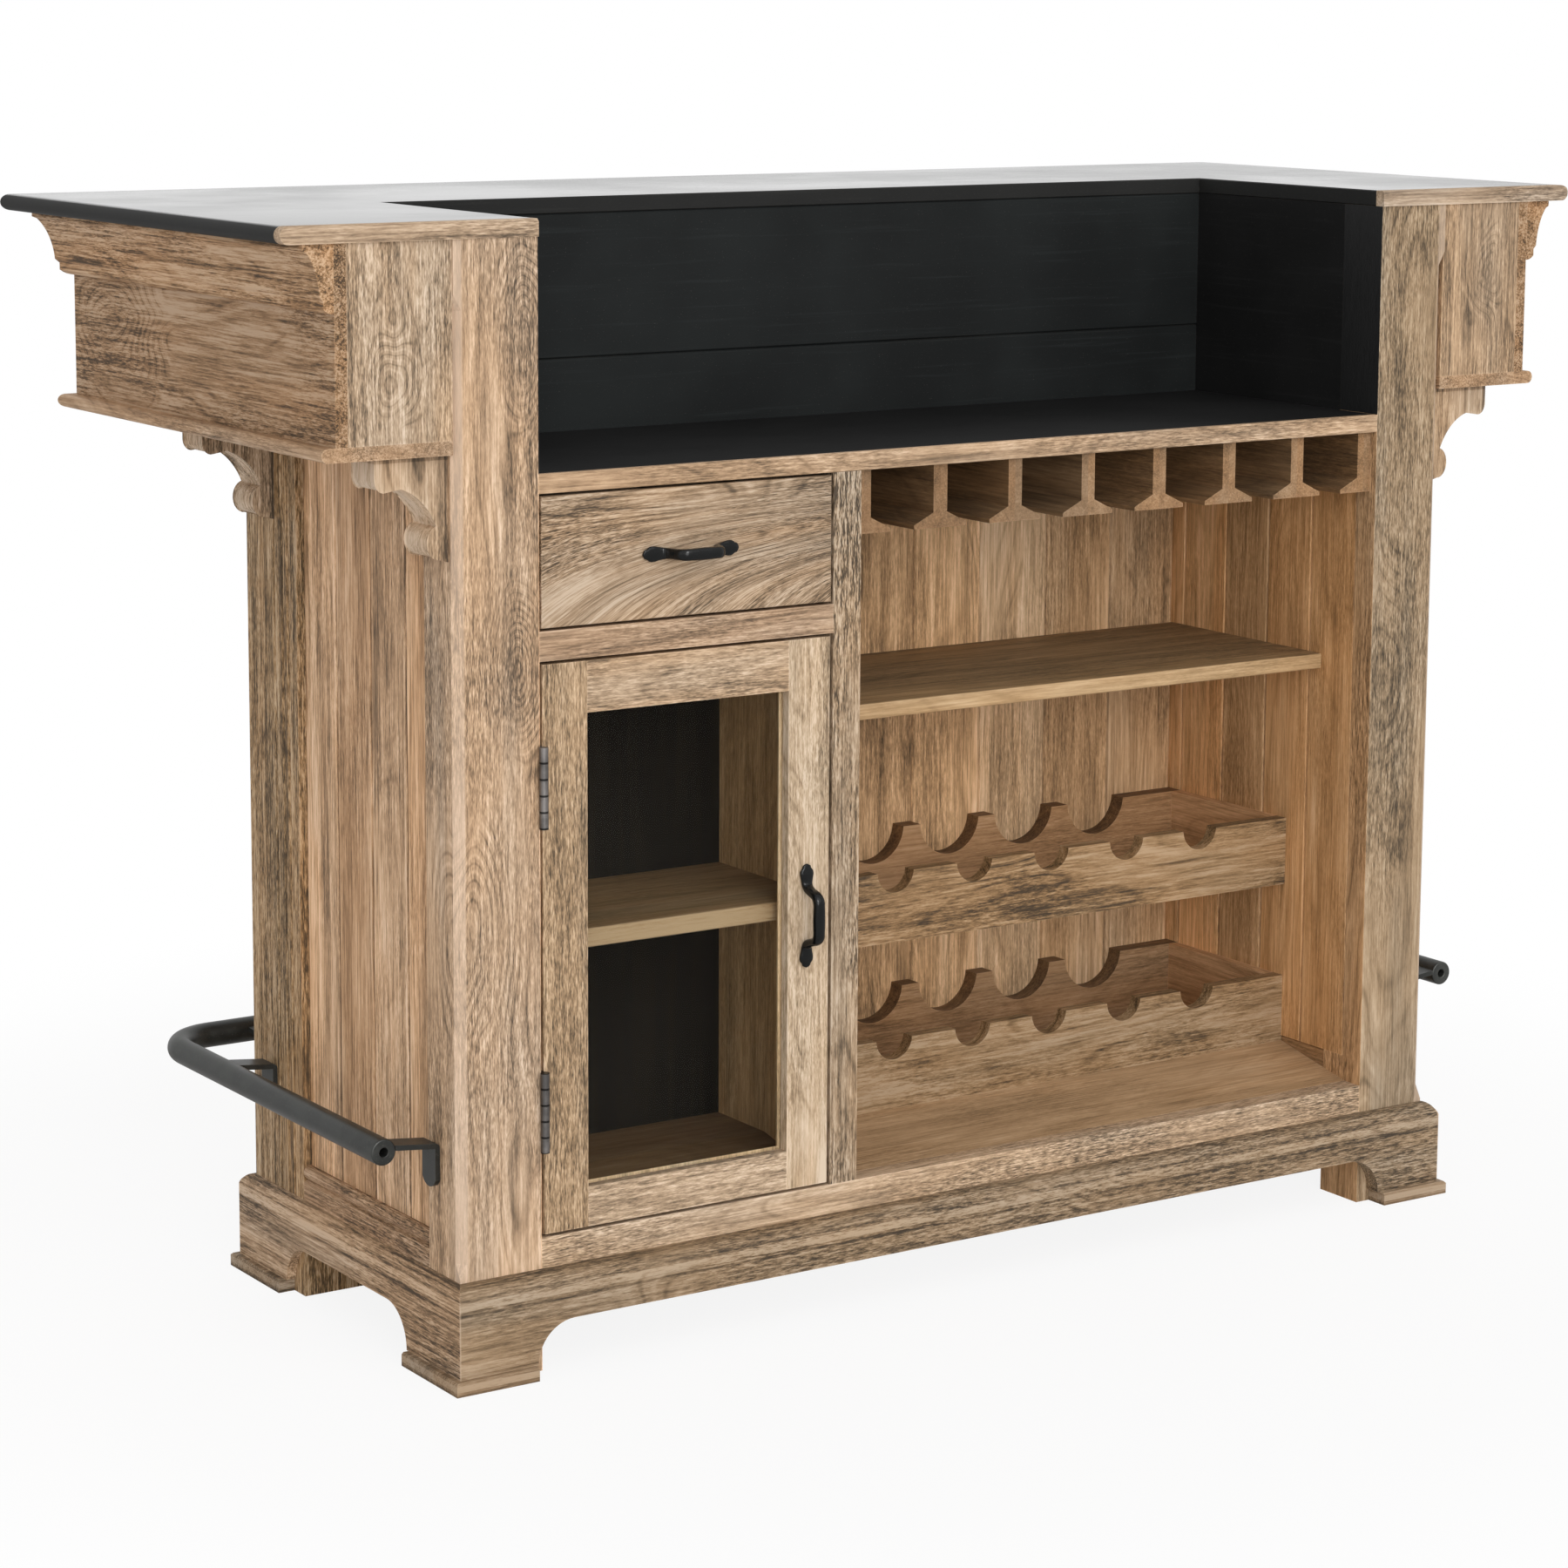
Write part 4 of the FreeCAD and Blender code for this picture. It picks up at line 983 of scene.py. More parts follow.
@dataclass
class MouldingRun(Assembly):
    """A profile carried round the three overhanging sides, mitred where two lengths meet."""

    stem: str
    base: Pair
    start: float
    profile: np.ndarray

    def sections(self, side: Side) -> np.ndarray:
        """Places the profile at both ends of one length: base plus projection times the mitre's direction.

        Args:
            side: which length.

        Returns:
            Two stations by profile points by three, in millimetres.
        """
        out, height = self.profile.T
        wide, deep = self.base[0] + out, self.base[1] + out
        if side is Side.GUEST:
            ends = ((-wide, deep), (wide, deep))
        else:
            ends = ((side.value * wide, self.start), (side.value * wide, deep))
        return np.stack([stacked(x, y, height) for x, y in ends])

    def build(self, node: str, finishes: dict[Side, Finish]) -> None:
        """Makes the three lengths.

        Args:
            node: the CAD node that they replace.
            finishes: the finish of each length.
        """
        for side, finish in finishes.items():
            name = f"{self.stem}_{side.name.lower()}"
            self.shop.piece(name, ring_grid(self.sections(side)), finish, node, "weathered_wood")


@dataclass
class TopBoard(Assembly):
    """The U-shaped black board with a half-round nosing on its side and guest edges."""

    outer: Pair = (751.0, 605.0)
    inner: Pair = (496.0, 296.0)
    front: float = 10.0
    top: float = 1065.0
    foot: float = 1049.0
    arris: float = 1.0

    def sections(self) -> np.ndarray:
        """Four stations round the U: each joins a well corner to an outer one with a half circle beyond.

        Returns:
            Stations by profile points by three, in millimetres.
        """
        radius = (self.top - self.foot) / 2
        middle = (self.top + self.foot) / 2
        turn = np.linspace(0.0, math.pi, 17)
        out = np.concatenate([radius * np.sin(turn) - radius, [self.arris, 0.0, 0.0, self.arris]])
        well = [self.foot, self.foot + self.arris, self.top - self.arris, self.top]
        height = np.concatenate([middle + radius * np.cos(turn), well])
        nosing = np.arange(len(out)) < len(turn)
        wide, deep = (np.where(nosing, far, near) + out for far, near in zip(self.outer, self.inner))
        ends = ((-wide, self.front), (-wide, deep), (wide, deep), (wide, self.front))
        return np.stack([stacked(x, y, height) for x, y in ends])

    def build(self) -> None:
        """Makes the board, its lacquer polished on the upper face alone."""
        finish = SatinPaint("lacquer_top", Axis.X, (20, 20, 19), 0.06, 0.2, face_from=1.0645)
        self.shop.piece("bar_top_board", ring_grid(self.sections()), finish, "bar_top", "black_wood")


@dataclass
class Corbels(Assembly):
    """Four scrolled brackets under the side overhangs and four under the guest overhang."""

    drop: float = 95.0
    reach: float = 72.0
    width: float = 43.0
    head: float = 858.0
    arris: float = 1.6
    side_root: float = 582.0
    side_places: Pair = (33.5, 381.5)
    guest_root: float = 418.0
    guest_places: Pair = (165.0, 539.0)

    def outline(self) -> np.ndarray:
        """A bracket's side: a flat head, a bead, a deep cove and a turned-out toe.

        Returns:
            Projection and drop, in millimetres.
        """
        bead = arc((1.0, 0.21), (0.97, 0.275), (0.87, 0.305), 7)
        cove = arc((0.66, 0.28), (0.33, 0.44), (0.14, 0.68), 15)
        toe = arc((0.14, 0.68), (0.28, 0.82), (0.12, 0.975), 13)[1:]
        shares = np.concatenate([[(0.0, 0.0), (1.0, 0.0)], bead, cove, toe, [(0.0, 1.0)]])
        return shares * (self.reach, self.drop)

    def bracket(self, root: Pair, out: Pair) -> Shape:
        """Stands the outline out from a face: root plus projection outwards, sideways by half the width.

        Args:
            root: the middle of the foot on the carrying face, x and y.
            out: the direction that it projects in.

        Returns:
            The points, in millimetres, and the faces.
        """
        side = self.outline()
        along = np.array([-out[1], out[0]]) * self.width / 2
        flat = np.array(root) + side[:, :1] * np.array(out)
        height = self.head - side[:, 1:]
        ends = [np.concatenate([flat + sign * along, height], axis=-1) for sign in (-1.0, 1.0)]
        return ring_grid(np.stack(ends))

    def build(self) -> None:
        """Makes both rows of brackets, with painted shade in the corner with the wall and under the soffit.
        """
        look = dict(ground=(168, 142, 115), contrast=1.55, rings=1.8, streaks=0.9, arris=0.0036, worn=0.8)
        # Faces turned from y are painted paler as painted light, and the bands paint shade where the brackets
        # meet the soffit and the post.
        finish = WoodFinish("wood_corbels", Axis.Z, 8, end_grain=-0.2, bands=CORBEL_SHADE_BANDS, **look)
        sides, guests = [], []
        for hand in (-1.0, 1.0):
            sides += [self.bracket((hand * self.side_root, y), (hand, 0.0)) for y in self.side_places]
            guests += [self.bracket((hand * x, self.guest_root), (0.0, 1.0)) for x in self.guest_places]
        for node, row in (("side_corbels", sides), ("guest_corbels", guests)):
            self.shop.piece(f"carved_{node}", joined(row), finish, node, "weathered_wood", self.arris)


@dataclass
class FootRail(Assembly):
    """A round bar bent round two guest corners, its ends bored and their rims rounded."""

    radius: float = 12.5
    height: float = 222.0
    reach_x: float = 640.0
    reach_y: float = 505.0
    start: float = 36.0
    bend: float = 50.0
    bore: float = 4.4
    depth: float = 26.0
    rim: float = 1.6

    def half(self) -> tuple[np.ndarray, np.ndarray, np.ndarray]:
        """The bar's left half: out of its bore, over the rounded rim, round the bend and on to the middle.

        The bend's centre plus its radius times the turned unit vector gives the quarter circle.

        Returns:
            The points of the middle line, the angles that it has turned by and the radii.
        """
        turn = np.linspace(math.pi / 2, 0.0, 6)
        back = np.concatenate([[self.depth, 0.5, 0.0, 0.0], self.rim * (1.0 - np.sin(turn))])
        inner = [self.bore, self.bore, self.bore + 0.5, self.radius - self.rim - 0.4]
        rounded = self.radius - self.rim * (1.0 - np.cos(turn))
        turn = np.linspace(0.0, math.pi / 2, 25)
        corner = np.array([self.bend - self.reach_x, self.reach_y - self.bend])
        bend = corner + self.bend * stacked(-np.cos(turn), np.sin(turn))
        end = stacked(-self.reach_x, self.start + back)
        straight = np.linspace((-self.reach_x, self.start), bend[0], 6)[1:-1]
        middle = np.linspace(bend[-1], bend[-1] * (-1.0, 1.0), 8)[1:4]
        plain = len(straight) + len(bend) + len(middle)
        angles = np.concatenate([np.zeros(len(end) + len(straight)), turn, np.full(len(middle), math.pi / 2)])
        radii = np.concatenate([inner, rounded, np.full(plain, self.radius)])
        return np.concatenate([end, straight, bend, middle]), angles, radii

    def sections(self) -> np.ndarray:
        """Rings round the left half's middle line, and their mirror.

        Returns:
            Stations by ring points by three, in millimetres.
        """
        points, angles, radii = self.half()
        around = full_turn(40)
        across = stacked(np.cos(angles), -np.sin(angles))
        flat = points[:, None, :] + across[:, None, :] * (radii[:, None] * np.cos(around))[..., None]
        height = self.height + radii[:, None] * np.sin(around)
        left = np.concatenate([flat, height[..., None]], axis=-1)
        return np.concatenate([left, left[::-1] * (-1.0, 1.0, 1.0)])

    def build(self) -> None:
        """Makes the bar and dresses its brackets."""
        finish = ForgedMetal("black_rail", (40, 41, 39), (110, 106, 98), 0.5, gloss=0.36)
        self.shop.piece("foot_rail_bar", ring_grid(self.sections()), finish, "foot_rail", "black_metal")
        self.shop.dress("rail_brackets", finish)


@dataclass
class BowHandle(Assembly):
    """A forged bow handle: leaf feet, narrow necks and a flat bow, one closed surface on its middle line."""

    carrier: str
    centre: Size
    length: float
    upright: bool
    reach: float = 28.0
    bow_length: float = 60.0
    bar: float = 11.0
    thickness: float = 9.0
    leaf: float = 14.6
    leaf_thickness: float = 4.0
    tip: float = 9.6
    roundness: float = 2.0 / 2.7

    def stations(self) -> np.ndarray:
        """Half of the middle line from a leaf's tip to the bow's middle, and its mirror.

        Returns:
            Rows of distance along, height over the board, width and thickness.
        """
        half = self.bow_length / 2
        end = self.length / 2
        mid = self.reach - self.thickness / 2
        flat = self.leaf_thickness
        low = flat / 2
        widest = (half + end) / 2 + 1.0
        knots = np.array([
            (end - 0.05, low, 0.6, 1.2),
            (end - 0.6, low, 3.6, 2.3),
            (end - 2.0, low, self.tip * 0.86, 3.0),
            (end - 4.2, low, self.tip, flat),
            (widest + 2.4, low, self.leaf * 0.95, flat + 0.5),
            (widest - 1.5, low + 0.2, self.leaf, flat + 0.9),
            (half + 4.5, low + 0.3, self.leaf * 0.84, flat + 1.2),
            (half + 0.5, low + 0.9, self.bar, flat + 1.8),
            (half - 3.2, low + 3.4, self.bar * 0.92, self.thickness * 0.9),
            (half - 5.6, mid * 0.45, self.bar * 0.9, self.thickness * 0.86),
            (half - 8.2, mid * 0.8, self.bar * 0.94, self.thickness * 0.93),
            (half - 12.4, mid * 0.97, self.bar, self.thickness),
            (half - 18.0, mid, self.bar, self.thickness),
            (0.0, mid, self.bar * 1.06, self.thickness),
        ])
        mirrored = knots[:-1][::-1] * (-1.0, 1.0, 1.0, 1.0)
        return smooth_rows(np.concatenate([knots, mirrored]), 4)

    def sections(self) -> np.ndarray:
        """Rounded bars across the middle line: half a size times cosine or sine to the roundness.

        Returns:
            Stations by ring points by three, as distance along, across and out.
        """
        along, lift, wide, thick = self.stations().T[..., None]
        slope = np.gradient(np.concatenate([along, lift], axis=-1), axis=0)
        slope /= np.linalg.norm(slope, axis=-1, keepdims=True)
        around = full_turn(28)
        side, rise = (np.sign(v) * np.abs(v) ** self.roundness for v in (np.cos(around), np.sin(around)))
        out = thick / 2 * rise
        height = np.maximum(lift + slope[:, :1] * out, 0.0)
        return stacked(along - slope[:, 1:] * out, wide / 2 * side, height)

    def build(self) -> None:
        """Makes the handle on a face that looks towards the working side."""
        along, across, out = np.moveaxis(self.sections(), -1, 0)
        x, z = (across, along) if self.upright else (along, across)
        placed = stacked(self.centre[0] + x, self.centre[1] - out, self.centre[2] + z)
        iron = ForgedMetal("black_iron", (11, 12, 12), (44, 44, 43), 0.1, gloss=0.13, shine=0.24)
        name, node = f"{self.carrier}_bow_handle", f"{self.carrier}_handle"
        self.shop.piece(name, ring_grid(placed), iron, node, "black_metal")


@dataclass(frozen=True)
class Lamp:
    """One soft lamp far away: where it shines from in degrees, its strength and how wide it looks."""

    name: str
    azimuth: float
    elevation: float
    strength: float
    spread: float
    mirrored: bool = True
    scattered: bool = True

    def hang(self) -> None:
        """Adds the lamp, its azimuth counted from the working side."""
        sun = bpy.data.lights.new(self.name, "SUN")
        sun.energy = self.strength
        sun.angle = math.radians(self.spread)
        made = bpy.data.objects.new(self.name, sun)
        bpy.context.scene.collection.objects.link(made)
        made.visible_glossy = self.mirrored
        made.visible_diffuse = self.scattered
        az, el = math.radians(self.azimuth), math.radians(self.elevation)
        source = Vector((math.sin(az) * math.cos(el), -math.cos(az) * math.cos(el), math.sin(el)))
        made.rotation_euler = source.to_track_quat("Z", "Y").to_euler()


@dataclass
class Studio:
    """The pale floor, the white surround, the soft lamps and the photograph's camera."""

    azimuth: float = 33.394
    elevation: float = 8.736
    roll: float = 0.280
    eye: Size = (-2345.9, -3206.7, 1282.3)
    focal_pixels: float = 4765.3
    image: float = 1800.0
    centre_row: float = 700.0
    sensor: float = 36.0
    around: float = 0.44
    floor_rings: tuple[float, ...] = (1.0, 2.0, 4.0, 9.0)
    floor_sides: int = 96
    lamps: tuple[Lamp, ...] = (
        Lamp("key_lamp", 4.0, 40.0, 0.86, 55.0),
        Lamp("low_lamp", -20.0, 10.0, 1.2, 32.0),
        Lamp("side_lamp", -68.0, 28.0, 0.3, 60.0),
        Lamp("back_lamp", 158.0, 42.0, 0.55, 85.0, mirrored=False),
        Lamp("glint_lamp", -14.0, 34.0, 1.8, 18.0, scattered=False),
    )

    def camera(self) -> None:
        """Stands the camera where the photograph was taken from."""
        az, el, ro = (math.radians(v) for v in (self.azimuth, self.elevation, self.roll))
        look = Vector((math.sin(az) * math.cos(el), math.cos(az) * math.cos(el), -math.sin(el)))
        level = Vector((math.cos(az), -math.sin(az), 0.0))
        upright = level.cross(look)
        right = level * math.cos(ro) + upright * math.sin(ro)
        up = upright * math.cos(ro) - level * math.sin(ro)
        lens = bpy.data.cameras.new("photograph")
        lens.sensor_width = self.sensor
        lens.lens = self.focal_pixels / self.image * self.sensor
        lens.shift_y = (self.centre_row - self.image / 2) / self.image
        lens.clip_end = 60.0
        made = bpy.data.objects.new("photograph", lens)
        bpy.context.scene.collection.objects.link(made)
        turn = Matrix((right, up, -look)).transposed().to_4x4()
        made.matrix_world = Matrix.Translation(Vector(to_scene(self.eye))) @ turn
        bpy.context.scene.camera = made

    def surround(self) -> None:
        """Makes the world white to the eye, to gloss and through glass, and a soft level to the rest."""
        world = bpy.data.worlds.new("soft_box")
        bpy.context.scene.world = world
        sketch = Sketch(world, "Background", "OutputWorld")
        seen = sketch.sum("MAXIMUM", sketch.ray("Camera"), sketch.ray("Glossy"))
        plain = sketch.sum("MAXIMUM", seen, sketch.ray("Transmission"))
        level = sketch.add("MapRange", {0: plain, 3: self.around, 4: 1.0})
        sketch.fill(sketch.shader, {"Color": (1.0, 1.0, 1.0, 1.0), "Strength": level})

    def floor(self) -> None:
        """Lays the pale floor: a disc whose far part fades to the white of the surround."""
        turn = full_turn(self.floor_sides)
        circle = stacked(np.cos(turn), np.sin(turn), 0.0)
        points = (np.array(self.floor_rings)[:, None, None] * circle).reshape(-1, 3)
        quads = grid_faces(len(self.floor_rings), self.floor_sides)[:, ::-1].tolist()
        mesh = bpy.data.meshes.new("floor")
        mesh.from_pydata(points.tolist(), [], quads + [list(range(self.floor_sides))])
        made = bpy.data.objects.new("floor", mesh)
        bpy.context.scene.collection.objects.link(made)
        sketch = material_sketch("pale_floor")
        sketch.coat((0.93, 0.93, 0.93, 1.0), 0.9, 0.1)
        far = sketch.vector("LENGTH", sketch.at, output="Value")
        whiter = sketch.between(far, 0.8, 1.5, 0.88, 1.0)
        sketch.overlay(sketch.times(whiter, sketch.ray("Camera")), sketch.add("Emission", {}))
        mesh.materials.append(sketch.owner)

    def build(self) -> None:
        """Sets up the whole studio."""
        bpy.context.scene.view_settings.view_transform = "Standard"
        self.camera()
        self.surround()
        self.floor()
        for lamp in self.lamps:
            lamp.hang()


def boards(axis: Axis, pitch: float, anchor: float = 0.0, seam: float = 0.0) -> Boards:
    """Sets where boards join, in millimetres from the posts' working face or the middle."""
    shift = ROW_SHIFT if axis is Axis.Y else 0.0
    return Boards(axis, pitch * MM, (anchor + shift) * MM, seam)


def bands(axis: Axis, *rows: tuple[float, float, float]) -> tuple[Band, ...]:
    """Lists strips across one axis, each from a low place to a high one with its lift."""
    return tuple(Band(axis, *row) for row in rows)


def hinge_steel(name: str) -> ForgedMetal:
    """Names the bare steel of a hinge, with the gaps between its knuckles."""
    return ForgedMetal(name, (84, 81, 79), (140, 136, 132), 0.8, gloss=0.34, ribs=(0.0152, 0.209))


PLINTH_CORNER = (0.5925, -0.3065)
# Painted highlight and shade lines on the plinth's moulding, and painted shade over the shoe.
PLINTH_LIGHT_AND_SHADE = bands(
    Axis.Z,
    (0.0135, 0.016, -0.22),
    (0.0712, 0.074, -0.3),
    (0.0768, 0.0842, 0.27),
    (0.086, 0.088, -0.14),
    (0.0955, 0.0985, -0.16),
)
# Painted shade: dark strips on the brackets just under the soffit and beside the post.
CORBEL_SHADE_BANDS = (
    Band(Axis.Z, 0.8535, 0.859, -0.2),
    Band(Axis.X, -0.5855, -0.581, -0.2),
    Band(Axis.X, 0.581, 0.5855, -0.2),
)
# Painted shade along the shoes' foot and a painted highlight on their rounded top.
SHOE_LIGHT_AND_SHADE = bands(Axis.Z, (-0.001, 0.0022, -0.25), (0.0042, 0.0105, 0.3))
FRIEZE_BURLS = (
    Burl((-698, 455, 935), (80, 130, 95), 0.36, 0.05),
    Burl((698, 300, 920), (80, 160, 110), 0.4, 0.05),
)
FRIEZE_END_BURLS = (
    Burl((-640, 0, 925), (34, 90, 60), 0.3, 0.03),
    Burl((640, 0, 980), (34, 90, 60), 0.3, 0.03),
)
POST_TONES = ((172, 145, 119), (150, 129, 104))
POST_BURLS = (
    (
        Burl((-510, 0, 960), (36, 60, 105), 0.42, 0.08),
        Burl((-518, 0, 660), (42, 60, 95), 0.55, 0.2),
        Burl((-560, 0, 420), (60, 60, 130), 0.25, 0.04),
    ),
    (Burl((520, 0, 560), (60, 60, 160), 0.3, 0.08),),
)
SIDE_BURLS = (
    Burl((-574, 168, 700), (60, 26, 170), 0.05, 0.15),
    Burl((-574, 205, 480), (60, 22, 150), 0.05, 0.08),
    Burl((574, 150, 640), (60, 26, 180), 0.05, 0.12),
)


@dataclass
class Overhang(Assembly):
    """The head of the counter: top board, crown, frieze box, soffit and corbels."""

    crown_base: Pair = (698.0, 552.0)
    crown_reach: float = 30.0
    crown_head: float = 1049.0
    crown_drop: float = 61.0
    start: float = 2.0

    def crown_profile(self) -> np.ndarray:
        """The crown: a fillet, a long cove, a small step and a rounded foot.

        Returns:
            Projection and height, in millimetres.
        """
        top = [(0.0, 0.0), (0.985, 0.0), (1.0, 0.012), (1.0, 0.09)]
        cove = arc((0.88, 0.12), (0.62, 0.36), (0.46, 0.76), 15)
        foot = arc((0.35, 0.93), (0.2, 0.985), (0.0, 1.0), 5)
        shares = np.concatenate([top, cove, [(0.35, 0.82)], foot])
        return (0.0, self.crown_head) + shares * (self.crown_reach, -self.crown_drop)

    def crown(self) -> None:
        """Makes the crown moulding."""
        look = dict(ground=(156, 119, 83), contrast=1.5, streaks=2.0, speckle=1.3)
        finishes = {
            side: WoodFinish(f"wood_crown_{side.name.lower()}", grain, side.value + 2, **look)
            for side, grain in ((Side.LEFT, Axis.Y), (Side.GUEST, Axis.X), (Side.RIGHT, Axis.Y))
        }
        run = MouldingRun(self.shop, "crown", self.crown_base, self.start, self.crown_profile())
        run.build("crown_mouldings", finishes)

    def build(self) -> None:
        """Makes and dresses the head of the counter."""
        TopBoard(self.shop).build()
        self.crown()
        self.wood("soffit_boards", Axis.X, 4, side_from=0.58, ground=(158, 129, 101), contrast=1.2)
        self.wood("top_end_strips", Axis.X, 5, ground=(157, 137, 117), rings=0.4, contrast=1.3)
        self.wood("frieze_boards", Axis.X, 6, side_from=0.6855, ground=(144, 110, 77), contrast=1.5,
                  rings=1.3, streaks=1.7, speckle=1.3, burls=FRIEZE_BURLS)
        self.wood("frieze_ends", Axis.Z, 7, ground=(168, 143, 117), contrast=1.1, streaks=1.3, speckle=1.3,
                  rings=1.4, uneven=0.24, bands=bands(Axis.X, (0.55, 0.8, -0.11)),
                  boards=boards(Axis.X, 1400), burls=FRIEZE_END_BURLS)
        Corbels(self.shop).build()


@dataclass
class Carcass(Assembly):
    """The posts, side walls, guest wall and plinth."""

    def plinth(self, side: str, grain: Axis, seed: float, **changes: object) -> None:
        """Dresses one plinth board, whose moulding and foot line carry painted highlights and painted shade
        as bands of its tone.
        """
        self.wood(f"plinth_{side}", grain, seed, bands=PLINTH_LIGHT_AND_SHADE, **changes)

    def side(self, number: int, side: str) -> None:
        """Dresses the posts, planks and plinth of one side.

        Args:
            number: nought for the left side, one for the right.
            side: the side's name.
        """
        # The front posts' inner faces: black lacquer above a height, and a painted-light brightening below
        # it.
        self.wood(f"post_front_{side}", Axis.Z, 11 + 2.3 * number, ground=POST_TONES[number],
                  contrast=1.1, speckle=1.25, rings=1.6, knots=0.4, burls=POST_BURLS[number],
                  lacquered=(0.4963, 0.8362), pale_corner=(0.5742, -0.2807))
        self.wood(f"post_rear_{side}", Axis.Z, 13 + number, ground=(158, 126, 89), contrast=1.35, streaks=2.1,
                  speckle=1.4, grey=0.3)
        self.wood(f"side_planks_{side}", Axis.Z, 15 + number, boards=boards(Axis.Y, 69, 40, 0.3),
                  ground=(180, 144, 110), streaks=1.9, speckle=0.9, rings=0.9, grey=0.1, uneven=0.3,
                  burls=SIDE_BURLS)
        self.plinth(side, Axis.Y, 17 + number, ground=(164, 136, 108), contrast=1.4, streaks=1.6,
                    pale_corner=PLINTH_CORNER)

    def build(self) -> None:
        """Dresses the standing parts."""
        for number, side in enumerate(("left", "right")):
            self.side(number, side)
        self.wood("side_rails", Axis.Y, 19, ground=(162, 131, 102), contrast=1.6, streaks=1.4)
        self.wood("guest_planks", Axis.Z, 20, boards=boards(Axis.X, 87), ground=(184, 150, 120), streaks=1.3,
                  speckle=0.5, rings=0.7)
        self.wood("guest_muntins", Axis.Z, 21, boards=boards(Axis.X, 500))
        self.wood("guest_rail", Axis.X, 22)
        self.plinth("front", Axis.X, 23, ground=(138, 117, 93), contrast=1.4, speckle=1.4, grey=0.4,
                    pale_corner=PLINTH_CORNER)
        self.plinth("guest", Axis.X, 24, ground=(154, 130, 105), contrast=1.25, speckle=1.5, grey=0.5)
        self.wood("foot_shoes", Axis.X, 25, ground=(136, 114, 90), contrast=1.3, grey=0.4, bands=SHOE_LIGHT_AND_SHADE)


@dataclass
class Bay(Assembly):
    """The inside: work surface, well, linings, shelf, racks and stemware rails."""

    sill_reach: Pair = (496.5, 507.0)
    sill_height: Pair = (119.0, 153.2)
    sill_run: Pair = (58.4, 327.6)
    sill_arris: float = 3.0

    def sills(self) -> Shape:
        """The strips under the linings: a section with an eased upper arris, carried along y.

        Returns:
            The points and faces of both.
        """
        near, far = self.sill_reach
        foot, head = self.sill_height
        turn = np.linspace(0.0, math.pi / 2, 6)
        inward, down = (self.sill_arris * (1.0 - wave(turn)) for wave in (np.sin, np.cos))
        eased = stacked(near + inward, head - down)
        ring = np.concatenate([[(far, foot), (far, head)], eased, [(near, foot)]])
        rows = np.array(self.sill_run)[:, None]
        return joined([ring_grid(stacked(hand * ring[:, 0], rows, ring[:, 1])) for hand in (-1.0, 1.0)])

    def paint(self, node: str, seed: float, *look: object) -> None:
        """Dresses a node in dull black lacquer."""
        self.shop.dress(node, SatinPaint(f"lacquer_{node}", *look, seed=seed))

    def build(self) -> None:
        """Dresses the inside parts and makes the sills."""
        self.paint("work_surface", 1, Axis.X, (14, 14, 14), 0.5, 0.1)
        self.paint("well_back", 2, Axis.X, (21, 23, 23), 0.48, 0.12)
        self.paint("well_sides", 3, Axis.Y, (19, 19, 19), 0.5, 0.1)
        self.wood("work_lipping", Axis.X, 31, ground=(168, 142, 116), contrast=1.15)
        self.wood("bottom_rail", Axis.X, 32, ground=(167, 144, 120), contrast=1.25, speckle=1.4, grey=0.3)
        # The floor board is darkened left of the divider as painted shade inside the cupboard.
        self.inner_wood("floor_board", Axis.X, 33, dim_from=-0.16, ground=(156, 125, 92))
        for number, side in enumerate(("left", "right")):
            self.inner_wood(f"wall_lining_{side}", Axis.Z, 34 + number, boards=boards(Axis.Y, 70, 27.6, 0.06),
                            ground=(196, 152, 106), uneven=0.4, contrast=1.05)
        self.inner_wood("back_planks", Axis.Z, 36, boards=boards(Axis.X, 87, 496, 0.12),
                        ground=(187, 154, 118), uneven=0.4, contrast=1.2, broad=1.3)
        # These strengths darken faces turned from y as painted shade: the shelf's top, the stemware pockets
        # and the racks' cut-outs, where some darker end grain is real too.
        self.inner_wood("bay_shelf", Axis.X, 37, ground=(181, 147, 106), end_grain=0.2)
        self.inner_wood("stemware_rails", Axis.Y, 38, end_grain=0.2, boards=boards(Axis.X, 89, 131),
                        ground=(138, 108, 78))
        rows = boards(Axis.Z, 172, 140)
        self.inner_wood("rack_fronts", Axis.X, 39, end_grain=0.12, boards=rows, ground=(132, 106, 76),
                        contrast=1.5, bands=bands(Axis.Z, (0.14, 0.27, 0.06), (0.28, 0.4, -0.04)), broad=1.8,
                        speckle=1.0, rings=1.6)
        self.inner_wood("rack_rears", Axis.X, 40, end_grain=0.34, boards=rows, ground=(150, 118, 86))
        self.inner_wood("rack_ends", Axis.Y, 41)
        finish = inner_finish("lining_sills", Axis.Y, 42, ground=(150, 116, 82))
        self.shop.piece("lining_sills", self.sills(), finish, None, "inner_wood")


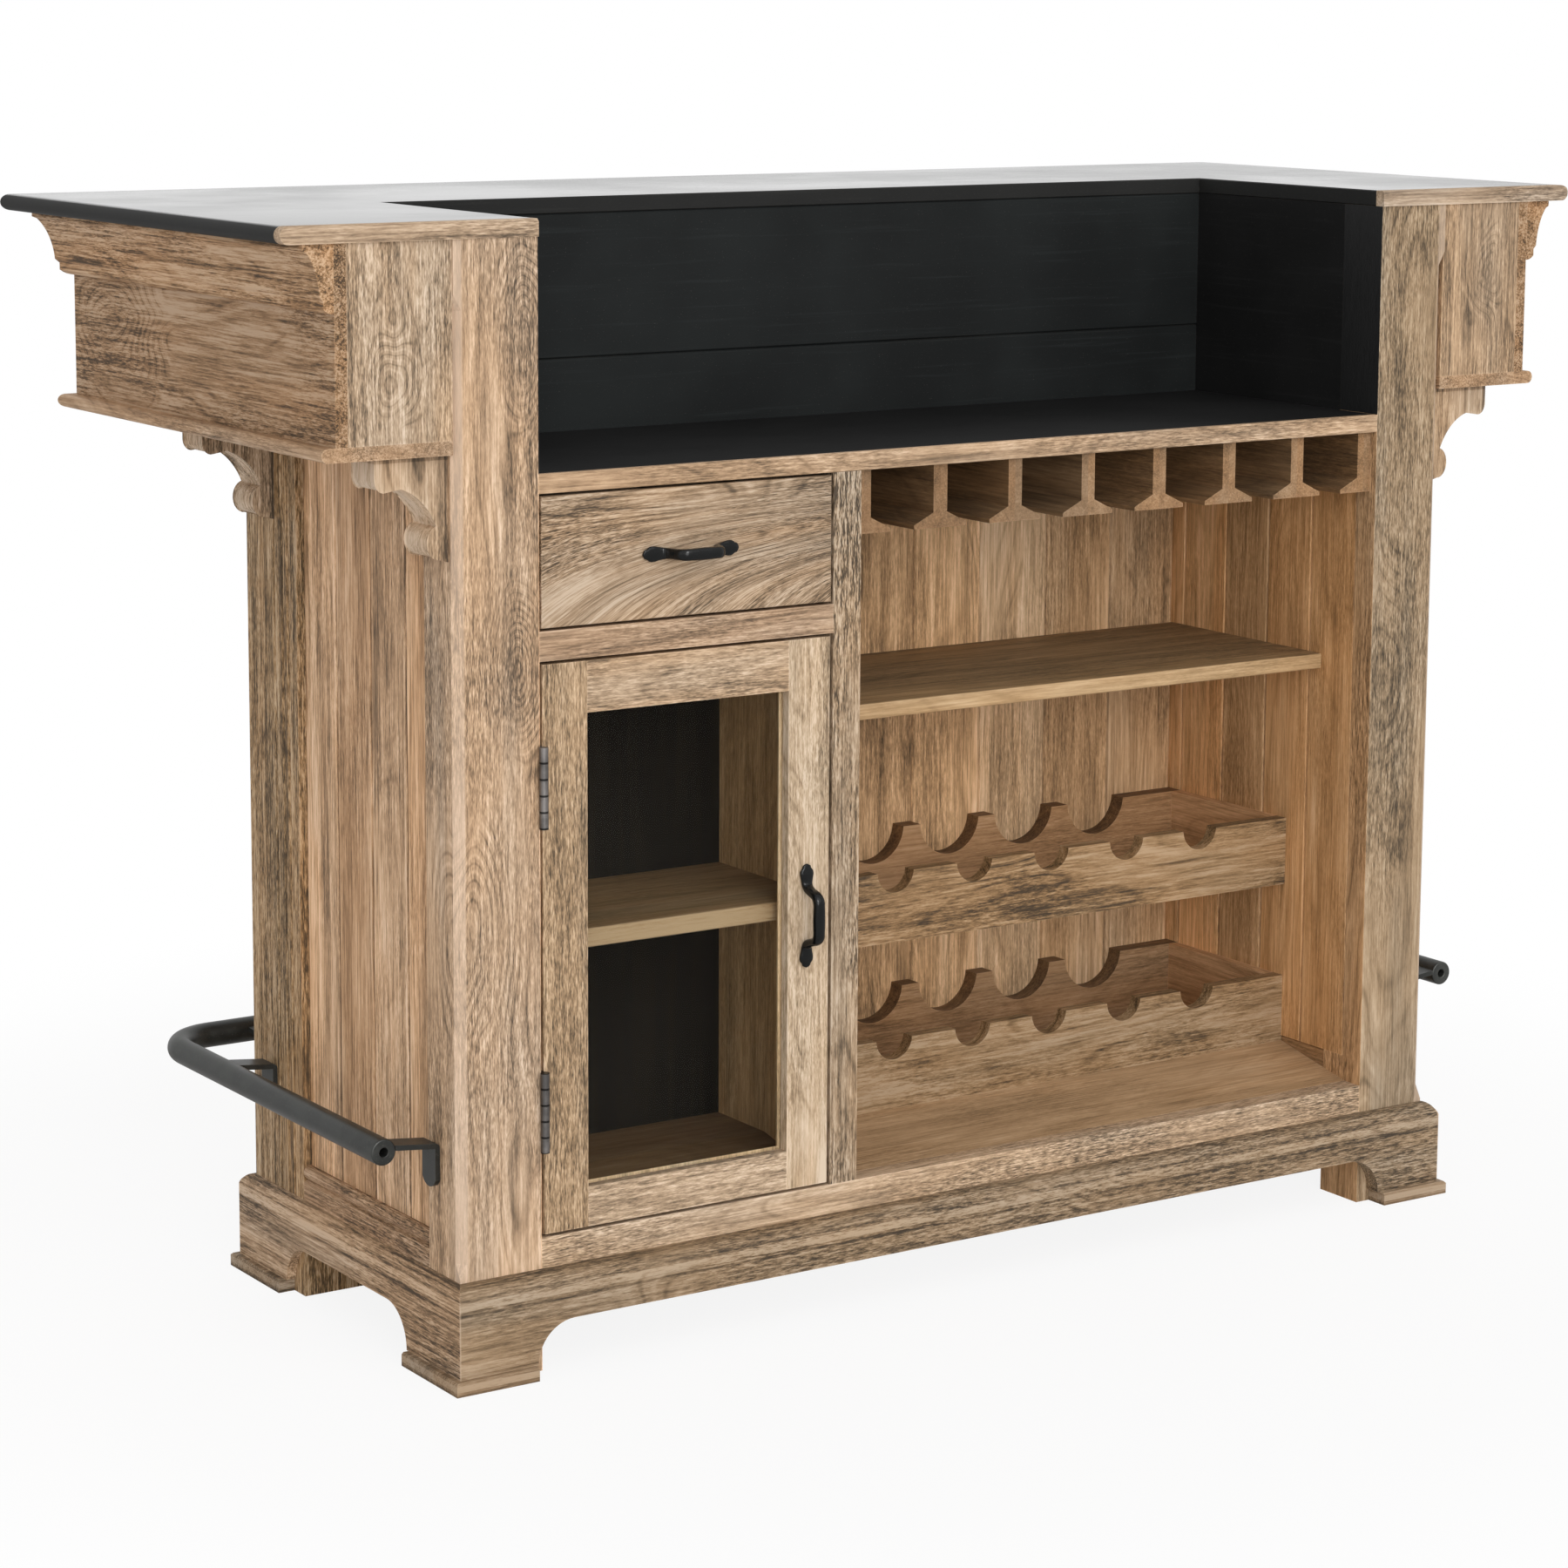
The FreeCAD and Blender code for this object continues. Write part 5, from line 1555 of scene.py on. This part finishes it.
@dataclass
class Cupboard(Assembly):
    """The fixed frame and inside round the door and the drawer."""

    shelf_edge: tuple[Band, ...] = (Band(Axis.Y, -0.262, -0.2562, 0.34),)

    def build(self) -> None:
        """Dresses the cupboard's fixed parts."""
        self.wood("divider_stile", Axis.Z, 51, ground=(153, 130, 105), contrast=1.8, speckle=1.7, grey=0.3)
        self.wood("drawer_rail", Axis.X, 52, ground=(159, 134, 111), streaks=1.3, contrast=1.15)
        self.inner_wood("divider_panel", Axis.Z, 53, ground=(184, 150, 114))
        self.inner_wood("cupboard_shelf", Axis.X, 54, ground=(150, 122, 92), bands=self.shelf_edge)
        # The cupboard's back is made near black as painted shade for the shaded inside of the cupboard.
        self.shop.dress("cupboard_back", ShadePanel("painted_shade_back", (21, 16, 12), (34, 28, 22)))
        self.inner_wood("drawer_runners", Axis.Y, 55)
        self.shop.dress("catch", ForgedMetal("steel_catch", (88, 88, 86), (150, 148, 142), 0.9))
        self.shop.dress("hinge_frame_leaves", hinge_steel("steel_hinge"))


@dataclass
class Door(Assembly):
    """The glazed door with its bow handle and hinge leaves."""

    handle_length: float = 100.9
    handle_centre: Size = (-206.0, 0.0, 396.25)

    def build(self) -> None:
        """Makes and dresses the door."""
        self.wood("door_stiles", Axis.Z, 64, boards=boards(Axis.X, 314, -336), ground=(167, 142, 114),
                  contrast=1.15, speckle=1.2, uneven=0.3, bands=bands(Axis.X, (-0.25, -0.16, 0.15)))
        self.wood("door_rails", Axis.X, 62, boards=boards(Axis.Z, 532, 400), ground=(182, 154, 125),
                  contrast=1.1)
        self.shop.dress("door_glass", PaneGlass("clear_pane"))
        # The beads' ground is their wood's colour lifted paler as painted light, for the shade behind the
        # pane.
        self.inner_wood("glazing_beads", Axis.Z, 63, ground=(212, 184, 154))
        self.shop.dress("hinge_door_leaves", hinge_steel("steel_hinge_door"))
        BowHandle(self.shop, "door", self.handle_centre, self.handle_length, upright=True).build()


@dataclass
class Drawer(Assembly):
    """The drawer with its bow handle."""

    handle_length: float = 104.0
    handle_centre: Size = (-336.0, 0.0, 755.5)

    def build(self) -> None:
        """Makes and dresses the drawer."""
        self.wood("drawer_front", Axis.X, 71, fan=(-0.5, 0.812, 0.706, 0.62), ground=(162, 136, 109),
                  contrast=1.5, rings=1.5, streaks=1.3, speckle=1.3)
        self.inner_wood("drawer_sides", Axis.Y, 72, boards=boards(Axis.X, 300, -336))
        self.inner_wood("drawer_back", Axis.X, 73)
        self.inner_wood("drawer_bottom", Axis.X, 74)
        BowHandle(self.shop, "drawer", self.handle_centre, self.handle_length, upright=False).build()


def main() -> None:
    """Builds the studio and every sub-assembly in order."""
    logging.basicConfig(level=logging.INFO, format="%(name)s: %(message)s")
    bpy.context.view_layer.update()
    shop = Workshop(frame)
    Studio().build()
    for assembly in (Overhang, Carcass, Bay, Cupboard, Door, Drawer, FootRail):
        assembly(shop).build()
    bpy.context.view_layer.update()


if __name__ == "__main__":
    main()
